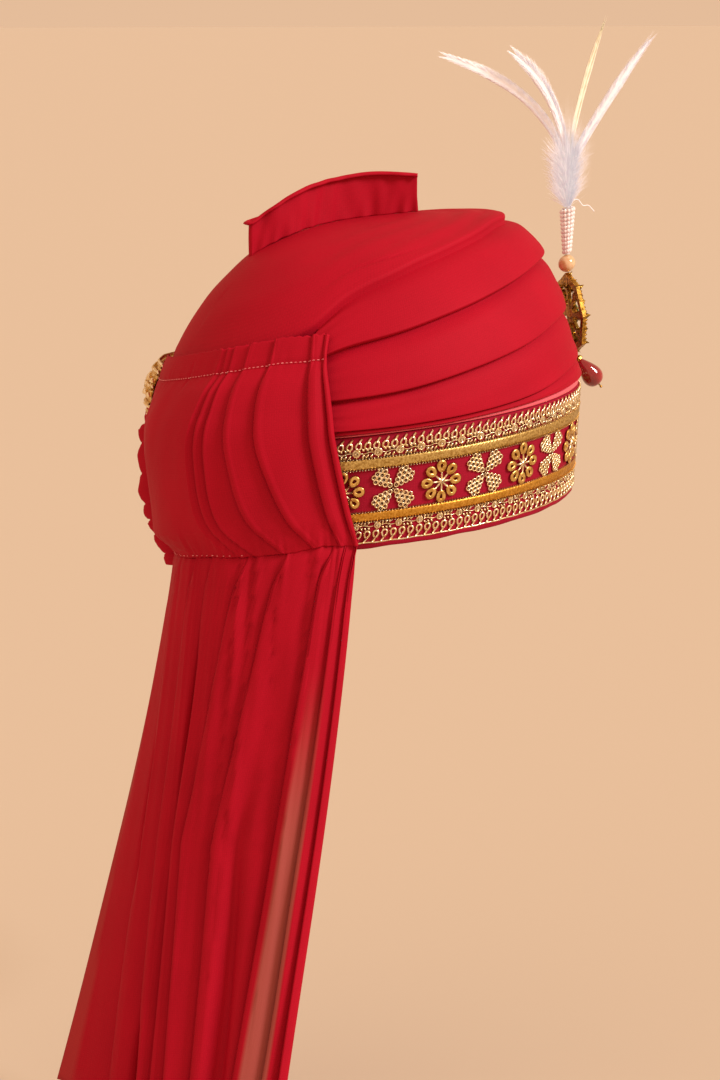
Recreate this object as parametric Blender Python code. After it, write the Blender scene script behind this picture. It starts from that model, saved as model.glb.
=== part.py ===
"""A ready-tied turban: a wrapped red georgette crown over an embroidered rim band, with a
pleated panel and a long pleated tail behind, an upright fold of cloth on top, and a gold
brooch with a feather plume in front.

The model is in metres with +Z up. The front faces -Y and the wearer's right is -X. The
origin is the centre of the head opening at the rim. Lengths below are in millimetres
until MM turns them into metres. An angle round the head is in degrees from the front
towards the wearer's right, so 90 is over the right ear and 180 is the back.
"""

import math

import bmesh
import bpy
import numpy as np
from mathutils import Matrix

MM = 0.001

# Driving sizes of the head opening and the crown, in millimetres
HEAD_FRONT_BACK = 112.0          # half length of the outer surface at the rim
HEAD_SIDE = 94.5                 # half width of the outer surface at the rim
CROWN_HEIGHT = 153.0             # rim to the top of the crown
RIM_SLOPE = math.tan(math.radians(5.5))   # the whole turban rises towards the front
CROWN_WALL = 2.6                 # stiffened cloth of the crown
GAP = 0.35                       # room between neighbouring pieces
UNDER_WRAPS = 5.0                # how far the crown lies inside the outer surface below the cap

# Meridian of the outer surface. height: share of CROWN_HEIGHT. front and back: shares of
# HEAD_FRONT_BACK. side: share of HEAD_SIDE.
CROWN_SECTIONS = (
    # height, front, back, side
    (0.000, 1.000, 1.000, 1.000),
    (0.185, 1.014, 1.008, 1.020),
    (0.375, 1.027, 1.016, 1.037),
    (0.460, 0.985, 0.985, 1.030),
    (0.550, 0.950, 0.942, 1.012),
    (0.635, 0.922, 0.884, 0.966),
    (0.725, 0.886, 0.812, 0.894),
    (0.810, 0.840, 0.725, 0.798),
    (0.890, 0.772, 0.610, 0.670),
    (0.942, 0.695, 0.495, 0.530),
    (0.975, 0.570, 0.370, 0.390),
    (0.993, 0.360, 0.225, 0.235),
    (1.000, 0.001, 0.001, 0.001),
)

# Embroidered band round the rim
BAND_HEIGHT = 57.0
BAND_WALL = 2.6
BRAID_PROUD = 0.9                # how far the gold braids stand off the band's face
BRAID_ROWS = (
    # name, lower edge, upper edge: shares of BAND_HEIGHT
    ("gold_braid_upper", 0.712, 0.795),
    ("gold_braid_lower", 0.246, 0.318),
)
TAPE_FRONT = 4.0                 # height of the plain silk tape above the band, in front
TAPE_SIDE = 0.9                  # and from the ears back
TAPE_FOOT_BACK = 0.6             # how far its face lies behind the band's, at its lower edge
TAPE_HEAD_BACK = 0.9             # and at its upper edge
MOTIF_COUNT = 26                 # flowers and crosses together, turn about
MOTIF_SIZE = 20.0
MOTIF_HEIGHT = 0.515             # centre, share of BAND_HEIGHT
MOTIF_PROUD = 1.1

# Lower edge of the cap and of each wrap at each angle from the front, alike on both sides:
# share of the way from the top of the band to the top of the crown
EDGE_ANGLES = (0, 20, 40, 60, 80, 100, 118, 132, 155, 180)
WRAP_EDGES = (
    ("cap", (0.9235, 0.9219, 0.9203, 0.8884, 0.8406,
            0.7737, 0.6844, 0.5171, 0.3625, 0.2669)),
    ("wrap_1", (0.7259, 0.7163, 0.6940, 0.6414, 0.5745,
               0.5059, 0.4502, 0.3625, 0.2669, 0.2031)),
    ("wrap_2", (0.4231, 0.4167, 0.3976, 0.3338, 0.2748,
               0.2191, 0.1983, 0.1872, 0.1394, 0.1075)),
    ("wrap_3", (0.1681, 0.1553, 0.1266, 0.0756, 0.0501,
               0.0406, 0.0406, 0.0406, 0.0406, 0.0406)),
)
WRAP_SWELL = 1.9                 # how far a wrap's lower edge stands off the outer surface
TUCKED_SWELL = 0.2               # the lowest wrap goes in behind the tape instead
WRAP_SINK = 1.0                  # how far a wrap's upper edge lies below it
CAP_PROFILE = (
    # share of the way from the cap's edge to the top, share of WRAP_SWELL
    (0.004, 0.105), (0.045, 1.000), (0.220, 0.579), (0.460, 0.158), (0.700, 0.000),
    (0.910, 0.000),
)
RIM_LIFT = 0.9                   # from the band's hem up to the crown's lower edge
LINING_DROP = 0.8                # from the cap's edge down to where the lining turns out
WRAP_END_RIGHT = 126.0           # the wraps run under the back panel on the near side
WRAP_END_LEFT = -150.0           # and under its gathered edge on the far side

# Pleated panel over the back. Angles of its folds at five levels, from the stitch line
# to the gather seam
PANEL_WALL = 1.6
PANEL_LIFT = 4.3                 # outer face at its stitched edges, off the outer surface
PANEL_PUFF = 6.0                 # extra swell halfway down
PANEL_SWELL = ((112, 0.30), (135, 0.75), (160, 1.00), (175, 0.80), (185, 0.45), (195, 0.08),
               (205, 0.00))
PANEL_PLEAT = 3.2                # depth of a fold
PANEL_FOLDS = (
    # name, header, stitch, upper, middle, lower, seam, share of PANEL_PLEAT
    ("right_edge", 122.5, 122.5, 120.0, 117.5, 114.5, 112.0, 1.00),
    ("fold_6", 125.5, 125.0, 122.5, 120.0, 117.5, 115.0, 1.00),
    ("fold_5", 134.5, 134.0, 132.0, 129.5, 126.0, 121.0, 1.00),
    ("fold_4", 142.5, 142.0, 141.0, 138.5, 135.5, 127.5, 1.00),
    ("fold_3", 148.5, 148.2, 148.2, 146.0, 143.0, 134.5, 1.00),
    ("fold_2", 152.0, 151.5, 152.4, 149.8, 146.4, 139.5, 1.00),
    ("fold_1", 155.5, 155.0, 156.2, 153.6, 151.4, 145.5, 1.00),
    ("bulge_a", 167.0, 167.0, 168.0, 167.0, 164.0, 158.0, 0.50),
    ("bulge_b", 180.0, 180.0, 181.0, 181.0, 179.0, 174.0, 0.35),
    ("bulge_c", 193.0, 193.0, 194.0, 194.0, 193.0, 189.0, 0.05),
    ("left_edge", 205.0, 205.0, 205.0, 205.0, 204.0, 202.0, 0.00),
)
PLEATED_FOLDS = 6                # how many of them have a groove beside their crest
PLEAT_DROP = 0.22                # where the groove lies, share of the way to the next crest
PANEL_LEVELS = (
    # share of the way down from the header to the seam, share of the full puff
    (0.00, 0.10), (0.11, 0.00), (0.20, 0.55), (0.33, 0.90), (0.50, 1.00),
    (0.68, 0.95), (0.84, 0.70), (0.89, 0.52), (0.95, 0.25), (1.00, 0.00),
)
LEVEL_SHARES = (0.0, 0.11, 0.28, 0.50, 0.80, 1.0)   # where the columns of PANEL_FOLDS lie
PANEL_TOP = ((112, 0.690), (123, 0.693), (135, 0.688), (144, 0.674), (152, 0.658),
             (167, 0.634), (185, 0.606), (205, 0.585))
PANEL_SEAM = ((112, 0.024), (121, 0.034), (128, 0.016), (143, 0.004), (152, -0.003),
              (165, -0.023), (185, -0.052), (205, -0.066))
PLEAT_AT_SEAMS = 0.4             # share of a fold's depth left where the panel is stitched
# how far the panel lies closer to the band on its far side, from mid height down
PANEL_HUG = ((112, 0.0), (165, 0.0), (185, -1.4), (205, -2.4))
PANEL_HUG_FROM, PANEL_HUG_TO = 0.45, 0.75
# how far the gather seam is drawn in at each angle, over the lowest share of the panel
SEAM_TUCK = ((112, 0.0), (150, 0.0), (165, -3.0), (185, -9.0), (205, -13.0))
SEAM_TUCK_FROM = 0.89
SEAM_GAP = 0.6                   # from the gather seam to the top of the tail

# Gathered edge beyond the panel and the gold strap that holds it
RUCHE_ANGLE = 209.0
RUCHE_DEPTH = 12.0               # how far it stands off the outer surface
RUCHE_LOBES = 9
RUCHE_WAVE = 1.7
RUCHE_PATH = (
    # share of CROWN_HEIGHT, share of RUCHE_DEPTH, share of it at the foot
    (0.555, 0.40, 0.22), (0.480, 0.62, 0.22), (0.385, 0.62, 0.22), (0.335, 0.95, 0.22),
    (0.250, 1.00, 0.08), (0.120, 0.95, 0.08), (0.040, 0.55, 0.08), (0.000, 0.30, 0.06),
    (-0.060, 0.00, -0.40), (-0.145, -0.45, -0.80),
)
KEEPER_WIDTH = 25.0
KEEPER_WALL = 2.2
KEEPER_FROM, KEEPER_TO = 205.8, 238.0
KEEPER_FOOT = 2.9                # inner face at its ends, off the outer surface
KEEPER_RISE = 8.6
KEEPER_HEIGHT = 0.468            # centre of the strap, share of CROWN_HEIGHT

# Tail. Its lower corners are in the model's frame, x to the wearer's left and y behind
TAIL_END = -300.0                # height of the hem
TAIL_RIGHT_FOOT = (-95.0, 87.0)
TAIL_LEFT_FOOT = (25.0, 165.0)
TAIL_BOW = 16.0                  # outward bow of the hem
TAIL_WALL = 1.6
TAIL_PLEAT = 5.0
TAIL_FROM, TAIL_TO = 112.5, 196.0
TAIL_SWING = 1.22                # how much later than a straight line the tail swings back
TAIL_FOLDS = (
    # name, share across at the seam, halfway and the hem, from the right edge
    ("right_hem", 0.000, 0.000, 0.000),
    ("fold_6", 0.060, 0.120, 0.170),
    ("fold_5", 0.200, 0.330, 0.290),
    ("fold_4", 0.330, 0.470, 0.410),
    ("fold_3", 0.477, 0.520, 0.470),
    ("fold_2", 0.559, 0.580, 0.540),
    ("fold_1", 0.695, 0.716, 0.650),
    ("left_hem", 1.000, 1.000, 1.000),
)
TAIL_ROWS = 11

# Upright fold of cloth on the top of the crown: plan path and the height of its top edge
TUFT_WALL = 1.6
TUFT_PATH = (
    # along y, across x, top edge above the top of the crown, all in millimetres
    (-31.0, 9.0, 18.5), (-20.0, 12.0, 20.5), (-6.0, 15.5, 22.0), (10.0, 16.0, 21.5),
    (24.0, 12.0, 20.5), (36.0, 8.5, 18.0), (48.0, 8.0, 13.5), (58.0, 10.0, 9.0),
    (64.0, 11.0, 6.5),
)
TUFT_RETURN = 26.0               # length of the fold laid back at its rear end
TUFT_RETURN_PATH = (
    # share of the return along y, across x beside the first layer, rise of the top edge
    (0.0, 0.0, 0.5), (0.5, 2.0, 2.5), (1.0, 1.0, 5.0),
)
TUFT_LAYER = 3.4                 # distance between its two layers

# Brooch, in its own plane: x across, z up, the face towards the front
BROOCH_HEIGHT = 45.0
BROOCH_WIDTH = 34.0
BROOCH_WIRE = 2.3
BROOCH_SEAT = 0.556              # its centre, share of CROWN_HEIGHT
BROOCH_STAND_OFF = 8.6           # from the cloth to the back of the plate
BROOCH_LEAN = 7.0                # degrees that its foot swings out from the cloth
BROOCH_PLATE = 2.0
BROOCH_RIM_POINTS = 32
BROOCH_RIM_INNER = 0.82          # inner edge of the rim, share of its outer edge
BROOCH_SCALLOP = 0.09            # depth of the rim's eight scallops, share of its outer edge
PETAL_STONES = 8
PETAL_RING = 0.62                # ring that they sit on, share of the brooch's half size
PETAL_STONE_RADIUS = 2.9
HEART_STONE_RADIUS = 5.6
STONE_HEIGHT = 2.6
SCROLL_HEIGHT = 0.50             # its centre, share of the way up to the plate's head
SCROLL_LENGTH = 12.5
SCROLL_WIRE = 1.8
SCROLL_SIDES = 12
SCROLL_BITE = 1.2                # how deep the loop is soldered into the plate
CLASP_HEIGHT = -0.30
CLASP_RADIUS = 1.8
PEARL_DIAMETER = 9.3
STEM_TOP_DIAMETER = 8.0
STEM_FOOT_DIAMETER = 4.4
STEM_LENGTH = 25.0
STEM_TURNS = 6                   # wound turns of seed pearls that the solid shows
DROP_LENGTH = 19.0
DROP_DIAMETER = 11.0
DROP_TILT = 39.0
DROP_CAP_LENGTH = 3.2
DROP_HANG = 0.7                  # from the brooch's foot to the ring of the cap
PLUME_FLUFF = (
    # share of the height of the plume's soft foot, half width, half depth in mm
    (0.00, 3.6, 3.4), (0.15, 6.5, 5.0), (0.40, 8.6, 6.4), (0.70, 6.0, 4.8), (1.00, 1.6, 1.4),
)
PLUME_FLUFF_HEIGHT = 44.0
PLUME_FLUFF_SIDES = 12
PLUME_VANE_STEPS = 9
PLUME_VANE_FOOT = 14.0           # where the vanes start, above the plume's root
PLUME_VANE_WALL = 0.55           # half thickness of a vane
PLUME_VANES = (
    # name, tip: towards the front, towards the wearer's left, up, then bow and half width
    ("vane_back", -68.0, 6.0, 86.0, 14.0, 2.9),
    ("vane_mid", -33.0, -6.0, 83.0, 12.0, 3.4),
    ("vane_up", 22.0, 4.0, 94.0, -5.0, 2.2),
    ("vane_front", 45.0, -4.0, 83.0, -11.0, 3.2),
)

# name: colour, roughness, metallic
FINISHES = {
    "red_georgette": ((0.62, 0.035, 0.055, 1.0), 0.85, 0.0),
    "band_silk": ((0.55, 0.03, 0.07, 1.0), 0.7, 0.0),
    "pink_silk_tape": ((0.70, 0.08, 0.14, 1.0), 0.55, 0.0),
    "gold_thread": ((0.62, 0.40, 0.12, 1.0), 0.38, 0.8),
    "antique_gold": ((0.50, 0.31, 0.08, 1.0), 0.32, 1.0),
    "golden_pearl": ((0.86, 0.66, 0.42, 1.0), 0.25, 0.0),
    "seed_pearl": ((0.88, 0.82, 0.78, 1.0), 0.35, 0.0),
    "white_feather": ((0.93, 0.91, 0.88, 1.0), 0.9, 0.0),
    "ruby_glass": ((0.45, 0.005, 0.02, 1.0), 0.08, 0.0),
}

ROUND = 60                       # facets round the head
STATION = 360 // ROUND           # degrees between them
MERIDIAN_STEPS = 12              # samples between two crown sections


# Surfaces of the turban


def smooth_rows(rows, steps):
    """Runs a Catmull-Rom curve through the rows of a table, with steps samples a span."""
    rows = np.asarray(rows, float)
    padded = np.vstack([2 * rows[0] - rows[1], rows, 2 * rows[-1] - rows[-2]])
    share = np.linspace(0, 1, steps, endpoint=False)[:, None]
    spans = []
    for before, start, end, after in zip(padded, padded[1:], padded[2:], padded[3:]):
        spans.append(0.5 * (2 * start + (end - before) * share
                            + (2 * before - 5 * start + 4 * end - after) * share ** 2
                            + (3 * start - before - 3 * end + after) * share ** 3))
    return np.vstack(spans + [rows[-1:]])


MERIDIAN = smooth_rows(CROWN_SECTIONS, MERIDIAN_STEPS)
MERIDIAN[:, 0] = np.maximum.accumulate(MERIDIAN[:, 0])


def shell_raw(angle, height):
    """Point of the outer surface, for an angle in degrees and a height above the rim."""
    share = height / CROWN_HEIGHT
    below = np.minimum(share, 0.0)
    front, back, side = (np.interp(np.maximum(share, 0.0), MERIDIAN[:, 0], MERIDIAN[:, k])
                         for k in (1, 2, 3))
    turn = np.radians(angle)
    length = HEAD_FRONT_BACK * np.where(np.cos(turn) > 0, front, back)
    width = HEAD_SIDE * side
    return np.stack([-width * np.sin(turn), -length * np.cos(turn),
                     (np.maximum(share, 0.0) + below) * CROWN_HEIGHT], -1)


def shell(angle, height, off=0.0):
    """The same point moved off along the surface's outward normal."""
    angle, height, off = np.broadcast_arrays(np.asarray(angle, float),
                                             np.asarray(height, float),
                                             np.asarray(off, float))
    turn_step, height_step = 0.5, 0.8
    low = np.minimum(height - height_step, CROWN_HEIGHT * 0.996)
    high = np.minimum(height + height_step, CROWN_HEIGHT * 0.999)
    along = shell_raw(angle + turn_step, low) - shell_raw(angle - turn_step, low)
    up = shell_raw(angle, high) - shell_raw(angle, low)
    normal = np.cross(up, along)
    normal /= np.linalg.norm(normal, axis=-1, keepdims=True)
    return shell_raw(angle, height) + normal * off[..., None]


def sloped(points):
    """Slopes the rim up towards the front."""
    points = np.array(points, float)
    points[..., 2] -= points[..., 1] * RIM_SLOPE
    return points


def place(points):
    """Slopes the rim up towards the front and turns millimetres into metres."""
    return sloped(points) * MM


def edge_height(name, angle):
    """Height of the lower edge of the cap or of a wrap at an angle."""
    share = np.interp(np.abs(angle), EDGE_ANGLES, dict(WRAP_EDGES)[name])
    return BAND_HEIGHT + (CROWN_HEIGHT - BAND_HEIGHT) * share


def arc_height(height, share):
    """Height at a share of the way along the meridian, from a height to the top."""
    length = np.concatenate([[0.0], np.cumsum(np.hypot(
        np.diff(MERIDIAN[:, 0]) * CROWN_HEIGHT, np.diff(MERIDIAN[:, 3]) * HEAD_SIDE))])
    start = np.interp(height / CROWN_HEIGHT, MERIDIAN[:, 0], length)
    return CROWN_HEIGHT * np.interp(start + (length[-1] - start) * share, length, MERIDIAN[:, 0])


def band_top(angle):
    """Height of the tape's upper edge, where the lowest wrap starts."""
    rise = np.maximum(np.cos(np.radians(angle)), 0.0)
    return BAND_HEIGHT + 2 * GAP + TAPE_SIDE + (TAPE_FRONT - TAPE_SIDE) * rise


# Making closed solids


def finish_mesh(name, vertices, faces, finish, merge=0.01 * MM):
    """Makes one closed object, with its faces pointing out."""
    mesh = bpy.data.meshes.new(name)
    mesh.from_pydata([tuple(v) for v in vertices], [], [tuple(f) for f in faces])
    shape = bmesh.new()
    shape.from_mesh(mesh)
    bmesh.ops.remove_doubles(shape, verts=shape.verts, dist=merge)
    bmesh.ops.triangulate(shape, faces=shape.faces)
    bmesh.ops.recalc_face_normals(shape, faces=shape.faces)
    shape.to_mesh(mesh)
    shape.free()
    mesh.shade_smooth()
    mesh.set_sharp_from_angle(angle=math.radians(35))
    mesh.materials.append(material(finish))
    part = bpy.data.objects.new(name, mesh)
    bpy.context.scene.collection.objects.link(part)
    return part


def material(name):
    """Principled material of one finish, made once."""
    known = bpy.data.materials.get(name)
    if known:
        return known
    colour, roughness, metallic = FINISHES[name]
    made = bpy.data.materials.new(name)
    made.use_nodes = True
    shader = made.node_tree.nodes["Principled BSDF"]
    shader.inputs["Base Color"].default_value = colour
    shader.inputs["Roughness"].default_value = roughness
    shader.inputs["Metallic"].default_value = metallic
    return made


def grid_faces(rows, columns, close_rows=False, close_columns=False, start=0):
    """Quads of a grid of points numbered row by row."""
    faces = []
    for row in range(rows if close_rows else rows - 1):
        for column in range(columns if close_columns else columns - 1):
            right = (column + 1) % columns
            below = (row + 1) % rows
            faces.append((start + row * columns + column, start + row * columns + right,
                          start + below * columns + right, start + below * columns + column))
    return faces


def swept(name, sections, finish, closed=False):
    """Solid of a closed outline carried along stations; sections is (stations, points, 3)."""
    stations, points = sections.shape[:2]
    faces = grid_faces(stations, points, close_rows=closed, close_columns=True)
    if not closed:
        faces.append(tuple(range(points)))
        faces.append(tuple((stations - 1) * points + k for k in range(points)))
    return finish_mesh(name, sections.reshape(-1, 3), faces, finish)


def two_sided(name, outer, inner, finish):
    """Solid between two grids of the same shape, joined round their four edges."""
    rows, columns = outer.shape[:2]
    count = rows * columns
    faces = grid_faces(rows, columns)
    faces += [tuple(reversed(face)) for face in grid_faces(rows, columns, start=count)]
    rim = ([row * columns for row in range(rows)]
           + [(rows - 1) * columns + column for column in range(1, columns)]
           + [row * columns + columns - 1 for row in range(rows - 2, -1, -1)]
           + [column for column in range(columns - 2, 0, -1)])
    for here, there in zip(rim, rim[1:] + rim[:1]):
        faces.append((here, there, there + count, here + count))
    vertices = np.vstack([outer.reshape(-1, 3), inner.reshape(-1, 3)])
    return finish_mesh(name, vertices, faces, finish)


def walled(name, surface, wall, finish, inward=None):
    """Solid of even wall behind a grid of points; inward picks the side the wall is on."""
    down = np.gradient(surface, axis=0)
    across = np.gradient(surface, axis=1)
    normal = np.cross(across, down)
    normal /= np.maximum(np.linalg.norm(normal, axis=-1, keepdims=True), 1e-12)
    if inward is not None:
        side = np.sign(np.sum(normal * inward(surface), axis=-1).mean())
        normal *= side
    return two_sided(name, surface, surface + normal * wall * MM, finish)


def lathe(profile, sides):
    """Closed turned solid about Z from (radius, height) rows, as vertices and faces."""
    turn = np.linspace(0, 2 * np.pi, sides, endpoint=False)
    rings = [np.stack([r * np.cos(turn), r * np.sin(turn), np.full(sides, h)], -1)
             for r, h in profile]
    vertices = np.vstack(rings)
    faces = grid_faces(len(profile), sides, close_columns=True)
    faces.append(tuple(range(sides)))
    faces.append(tuple((len(profile) - 1) * sides + k for k in range(sides)))
    return vertices, faces


# Crown, wraps and band


def signed_angles():
    """Stations round the head, counted from the front towards the right and to the left."""
    angles = np.arange(0, 360, STATION)
    return np.where(angles < 180, angles, angles - 360)


def make_crown():
    """Cloth crown: smooth cap above, and the wall that the wraps and the band lie on."""
    signed = signed_angles()
    edge = edge_height("cap", signed)
    lower = [np.full(ROUND, RIM_LIFT), np.full(ROUND, BAND_HEIGHT), band_top(signed)]
    lower += [edge_height(name, signed) for name, _ in reversed(WRAP_EDGES)]
    outer = [shell(signed, height, -UNDER_WRAPS) for height in lower]
    for share, swell in CAP_PROFILE:
        outer.append(shell(signed, arc_height(edge, share), swell * WRAP_SWELL))
    inner = [shell(signed, height, -UNDER_WRAPS - CROWN_WALL)
             for height in (lower[0], lower[1], lower[4], lower[5], edge - LINING_DROP)]
    for share in (0.12, 0.50, 0.86):
        inner.append(shell(signed, arc_height(edge, share), -CROWN_WALL))
    rows, under_rows = len(outer), len(inner)
    top = np.array([[0.0, 0.0, CROWN_HEIGHT], [0.0, 0.0, CROWN_HEIGHT - CROWN_WALL]])
    vertices = np.vstack([np.array(outer).reshape(-1, 3), np.array(inner).reshape(-1, 3), top])
    start = rows * ROUND
    apex = start + under_rows * ROUND
    faces = grid_faces(rows, ROUND, close_columns=True)
    faces += grid_faces(under_rows, ROUND, close_columns=True, start=start)
    for here in range(ROUND):
        after = (here + 1) % ROUND
        faces.append((here, after, start + after, start + here))
        faces.append((start - ROUND + here, start - ROUND + after, apex))
        faces.append((apex - ROUND + here, apex - ROUND + after, apex + 1))
    return finish_mesh("crown", place(vertices), faces, "red_georgette")


def make_wrap(name, above, lower_edge, swell):
    """One wrap of cloth, whose rounded lower edge stands over the wrap below it."""
    angles = np.arange(WRAP_END_LEFT, WRAP_END_RIGHT + 1, STATION)
    high = edge_height(above, angles) - GAP
    low = lower_edge(angles)
    outline = (
        # share of the way up, off the outer surface
        (0.00, GAP - UNDER_WRAPS), (0.00, swell * 0.1), (0.12, swell), (0.45, swell * 0.75),
        (1.00, -WRAP_SINK), (1.00, GAP - UNDER_WRAPS),
    )
    sections = np.stack([shell(angles, low + share * (high - low), off)
                         for share, off in outline], 1)
    return swept(name, place(sections), "red_georgette")


def ring(name, lower, upper, inner_off, outer_off, finish):
    """Closed band round the rim between two heights and two distances off the surface."""
    angles = np.arange(0, 360, STATION)
    outline = ((lower, inner_off), (lower, outer_off), (upper, outer_off), (upper, inner_off))
    sections = np.stack([shell(angles, h, off) for h, off in outline], 1)
    return swept(name, place(sections), finish, closed=True)


def make_band():
    """Embroidered band, its silk tape and its two gold braids."""
    face = GAP - UNDER_WRAPS + BAND_WALL
    ring("band", 0.0, BAND_HEIGHT, GAP - UNDER_WRAPS, face, "band_silk")
    signed = signed_angles()
    top = band_top(signed) - GAP
    outline = ((BAND_HEIGHT + GAP, GAP - UNDER_WRAPS), (BAND_HEIGHT + GAP, face - TAPE_FOOT_BACK),
               (top, face - TAPE_HEAD_BACK), (top, GAP - UNDER_WRAPS))
    sections = np.stack([shell(signed, h, off) for h, off in outline], 1)
    swept("band_top_tape", place(sections), "pink_silk_tape", closed=True)
    for name, low, high in BRAID_ROWS:
        ring(name, low * BAND_HEIGHT, high * BAND_HEIGHT, face + GAP, face + GAP + BRAID_PROUD,
             "gold_thread")


def motif_outline(kind):
    """Outline of a flower or a cross in its own plane: across, up, shares of its half size."""
    turn = np.linspace(0, 2 * np.pi, 16, endpoint=False)
    if kind == "flower":
        reach = np.where(np.arange(16) % 2 == 0, 1.0, 0.74)
    else:
        reach = 0.80 + 0.24 * np.cos(4 * (turn - np.pi / 4))
    return np.stack([reach * np.cos(turn), reach * np.sin(turn)], -1)


def make_motifs():
    """Raised flowers and crosses round the band's red ground, turn about."""
    middle = MOTIF_HEIGHT * BAND_HEIGHT
    back_off = GAP - UNDER_WRAPS + BAND_WALL + GAP
    # equal steps of the ring's own length, so that the motifs are evenly spaced
    fine = np.linspace(0, 360, 1441)
    steps = np.linalg.norm(np.diff(shell(fine, middle, back_off), axis=0), axis=1)
    length = np.concatenate([[0], np.cumsum(steps)])
    places = (np.arange(MOTIF_COUNT) + 0.5) * length[-1] / MOTIF_COUNT
    for number, centre in enumerate(places):
        kind = "flower" if number % 2 == 0 else "cross"
        outline = motif_outline(kind) * MOTIF_SIZE / 2
        angles = np.interp(centre + outline[:, 0], length, fine, period=length[-1])
        heights = middle + outline[:, 1]
        back = shell(angles, heights, back_off)
        front = shell(angles, heights, back_off + MOTIF_PROUD * 0.5)
        boss = shell(np.interp(centre, length, fine), middle, back_off + MOTIF_PROUD)
        count = len(outline)
        faces = grid_faces(2, count, close_columns=True)
        faces.append(tuple(range(count)))
        faces += [(count + k, count + (k + 1) % count, 2 * count) for k in range(count)]
        vertices = np.vstack([back, front, boss[None]])
        finish_mesh(f"{kind}_{number // 2 + 1:02d}", place(vertices), faces, "gold_thread")


# Panel, gathered edge, gold strap and tail


def panel_height(angle, share):
    """Height on the panel, for a share of the way down from its header to its seam."""
    top = np.interp(angle, *zip(*PANEL_TOP))
    seam = np.interp(angle, *zip(*PANEL_SEAM))
    return CROWN_HEIGHT * (top + (seam - top) * share)


def panel_columns(share):
    """Angle and pleat depth of each column of the panel at a level."""
    angles, depths = [], []
    places = [np.interp(share, LEVEL_SHARES, row[1:-1]) for row in PANEL_FOLDS]
    for number, here in enumerate(places):
        angles.append(here)
        depths.append(PANEL_FOLDS[number][-1])
        if number < PLEATED_FOLDS:
            angles.append(here + PLEAT_DROP * (places[number + 1] - here))
            depths.append(0.0)
    return np.array(angles), np.array(depths)


def panel_surface(depth):
    """Grid of the panel's outer face, or of a face at some depth below it."""
    rows = []
    for share, puff in PANEL_LEVELS:
        angles, folds = panel_columns(share)
        swell = PANEL_PUFF * puff * np.interp(angles, *zip(*PANEL_SWELL))
        pleat = PANEL_PLEAT * folds * (PLEAT_AT_SEAMS + (1.0 - PLEAT_AT_SEAMS) * puff)
        drawn = np.interp(share, (SEAM_TUCK_FROM, 1.0), (0.0, 1.0))
        hugged = np.interp(share, (PANEL_HUG_FROM, PANEL_HUG_TO), (0.0, 1.0))
        tuck = (np.interp(angles, *zip(*SEAM_TUCK)) * drawn
                + np.interp(angles, *zip(*PANEL_HUG)) * hugged)
        rows.append(shell(angles, panel_height(angles, share),
                          PANEL_LIFT + swell + pleat + tuck - depth))
    return np.array(rows)


def make_panel():
    """Pleated panel, stitched at its header and its seam and puffed between them."""
    return two_sided("back_panel", place(panel_surface(0.0)), place(panel_surface(PANEL_WALL)),
                     "red_georgette")


def make_ruche():
    """Gathered edge that stands off beyond the panel's far side, in scalloped lobes."""
    shares = np.linspace(0.0, 1.0, RUCHE_LOBES * 4 + 1)
    path = np.array(RUCHE_PATH)
    rows = np.linspace(0, 1, len(path))
    height, reach, foot = (np.interp(shares, rows, path[:, k]) for k in range(3))
    height, reach, foot = height * CROWN_HEIGHT, reach * RUCHE_DEPTH, foot * RUCHE_DEPTH
    wave = RUCHE_WAVE * np.cos(shares * RUCHE_LOBES * 2 * np.pi)
    outline = (
        # turn in degrees past the line of the edge, share of the way out from its foot
        (-1.5, 0.0), (-1.3, 0.6), (0.0, 1.0), (1.5, 0.7), (2.0, 0.0),
    )
    sections = [shell(RUCHE_ANGLE + turn + 0.3 * wave * part, height,
                      foot + part * (reach + wave - foot)) for turn, part in outline]
    return swept("ruched_edge", place(np.stack(sections, 1)), "red_georgette")


def make_keeper():
    """Gold embroidered strap, arched over the head of the gathered edge."""
    stations = np.linspace(0, 1, 15)
    angles = KEEPER_FROM + (KEEPER_TO - KEEPER_FROM) * stations
    arch = KEEPER_FOOT + KEEPER_RISE * np.interp(stations, (0, 0.06, 0.14, 0.35, 0.6, 1.0),
                                                 (0.62, 0.92, 1.0, 0.95, 0.6, 0.0))
    middle = CROWN_HEIGHT * KEEPER_HEIGHT
    half = KEEPER_WIDTH / 2
    outline = ((-half, 0.0), (-half, KEEPER_WALL), (0.0, KEEPER_WALL * 1.3), (half, KEEPER_WALL),
               (half, 0.0))
    sections = [shell(angles, middle + up, arch + off) for up, off in outline]
    return swept("gold_keeper", place(np.stack(sections, 1)), "gold_thread")


def tail_rail(angles):
    """Top edge of the tail, just under the panel's seam."""
    seam_angles, _ = panel_columns(1.0)
    seam = panel_surface(0.0)[-1]
    rail = np.stack([np.interp(angles, seam_angles, seam[:, axis]) for axis in range(3)], -1)
    return rail - np.array([0.0, 0.0, SEAM_GAP])


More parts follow.
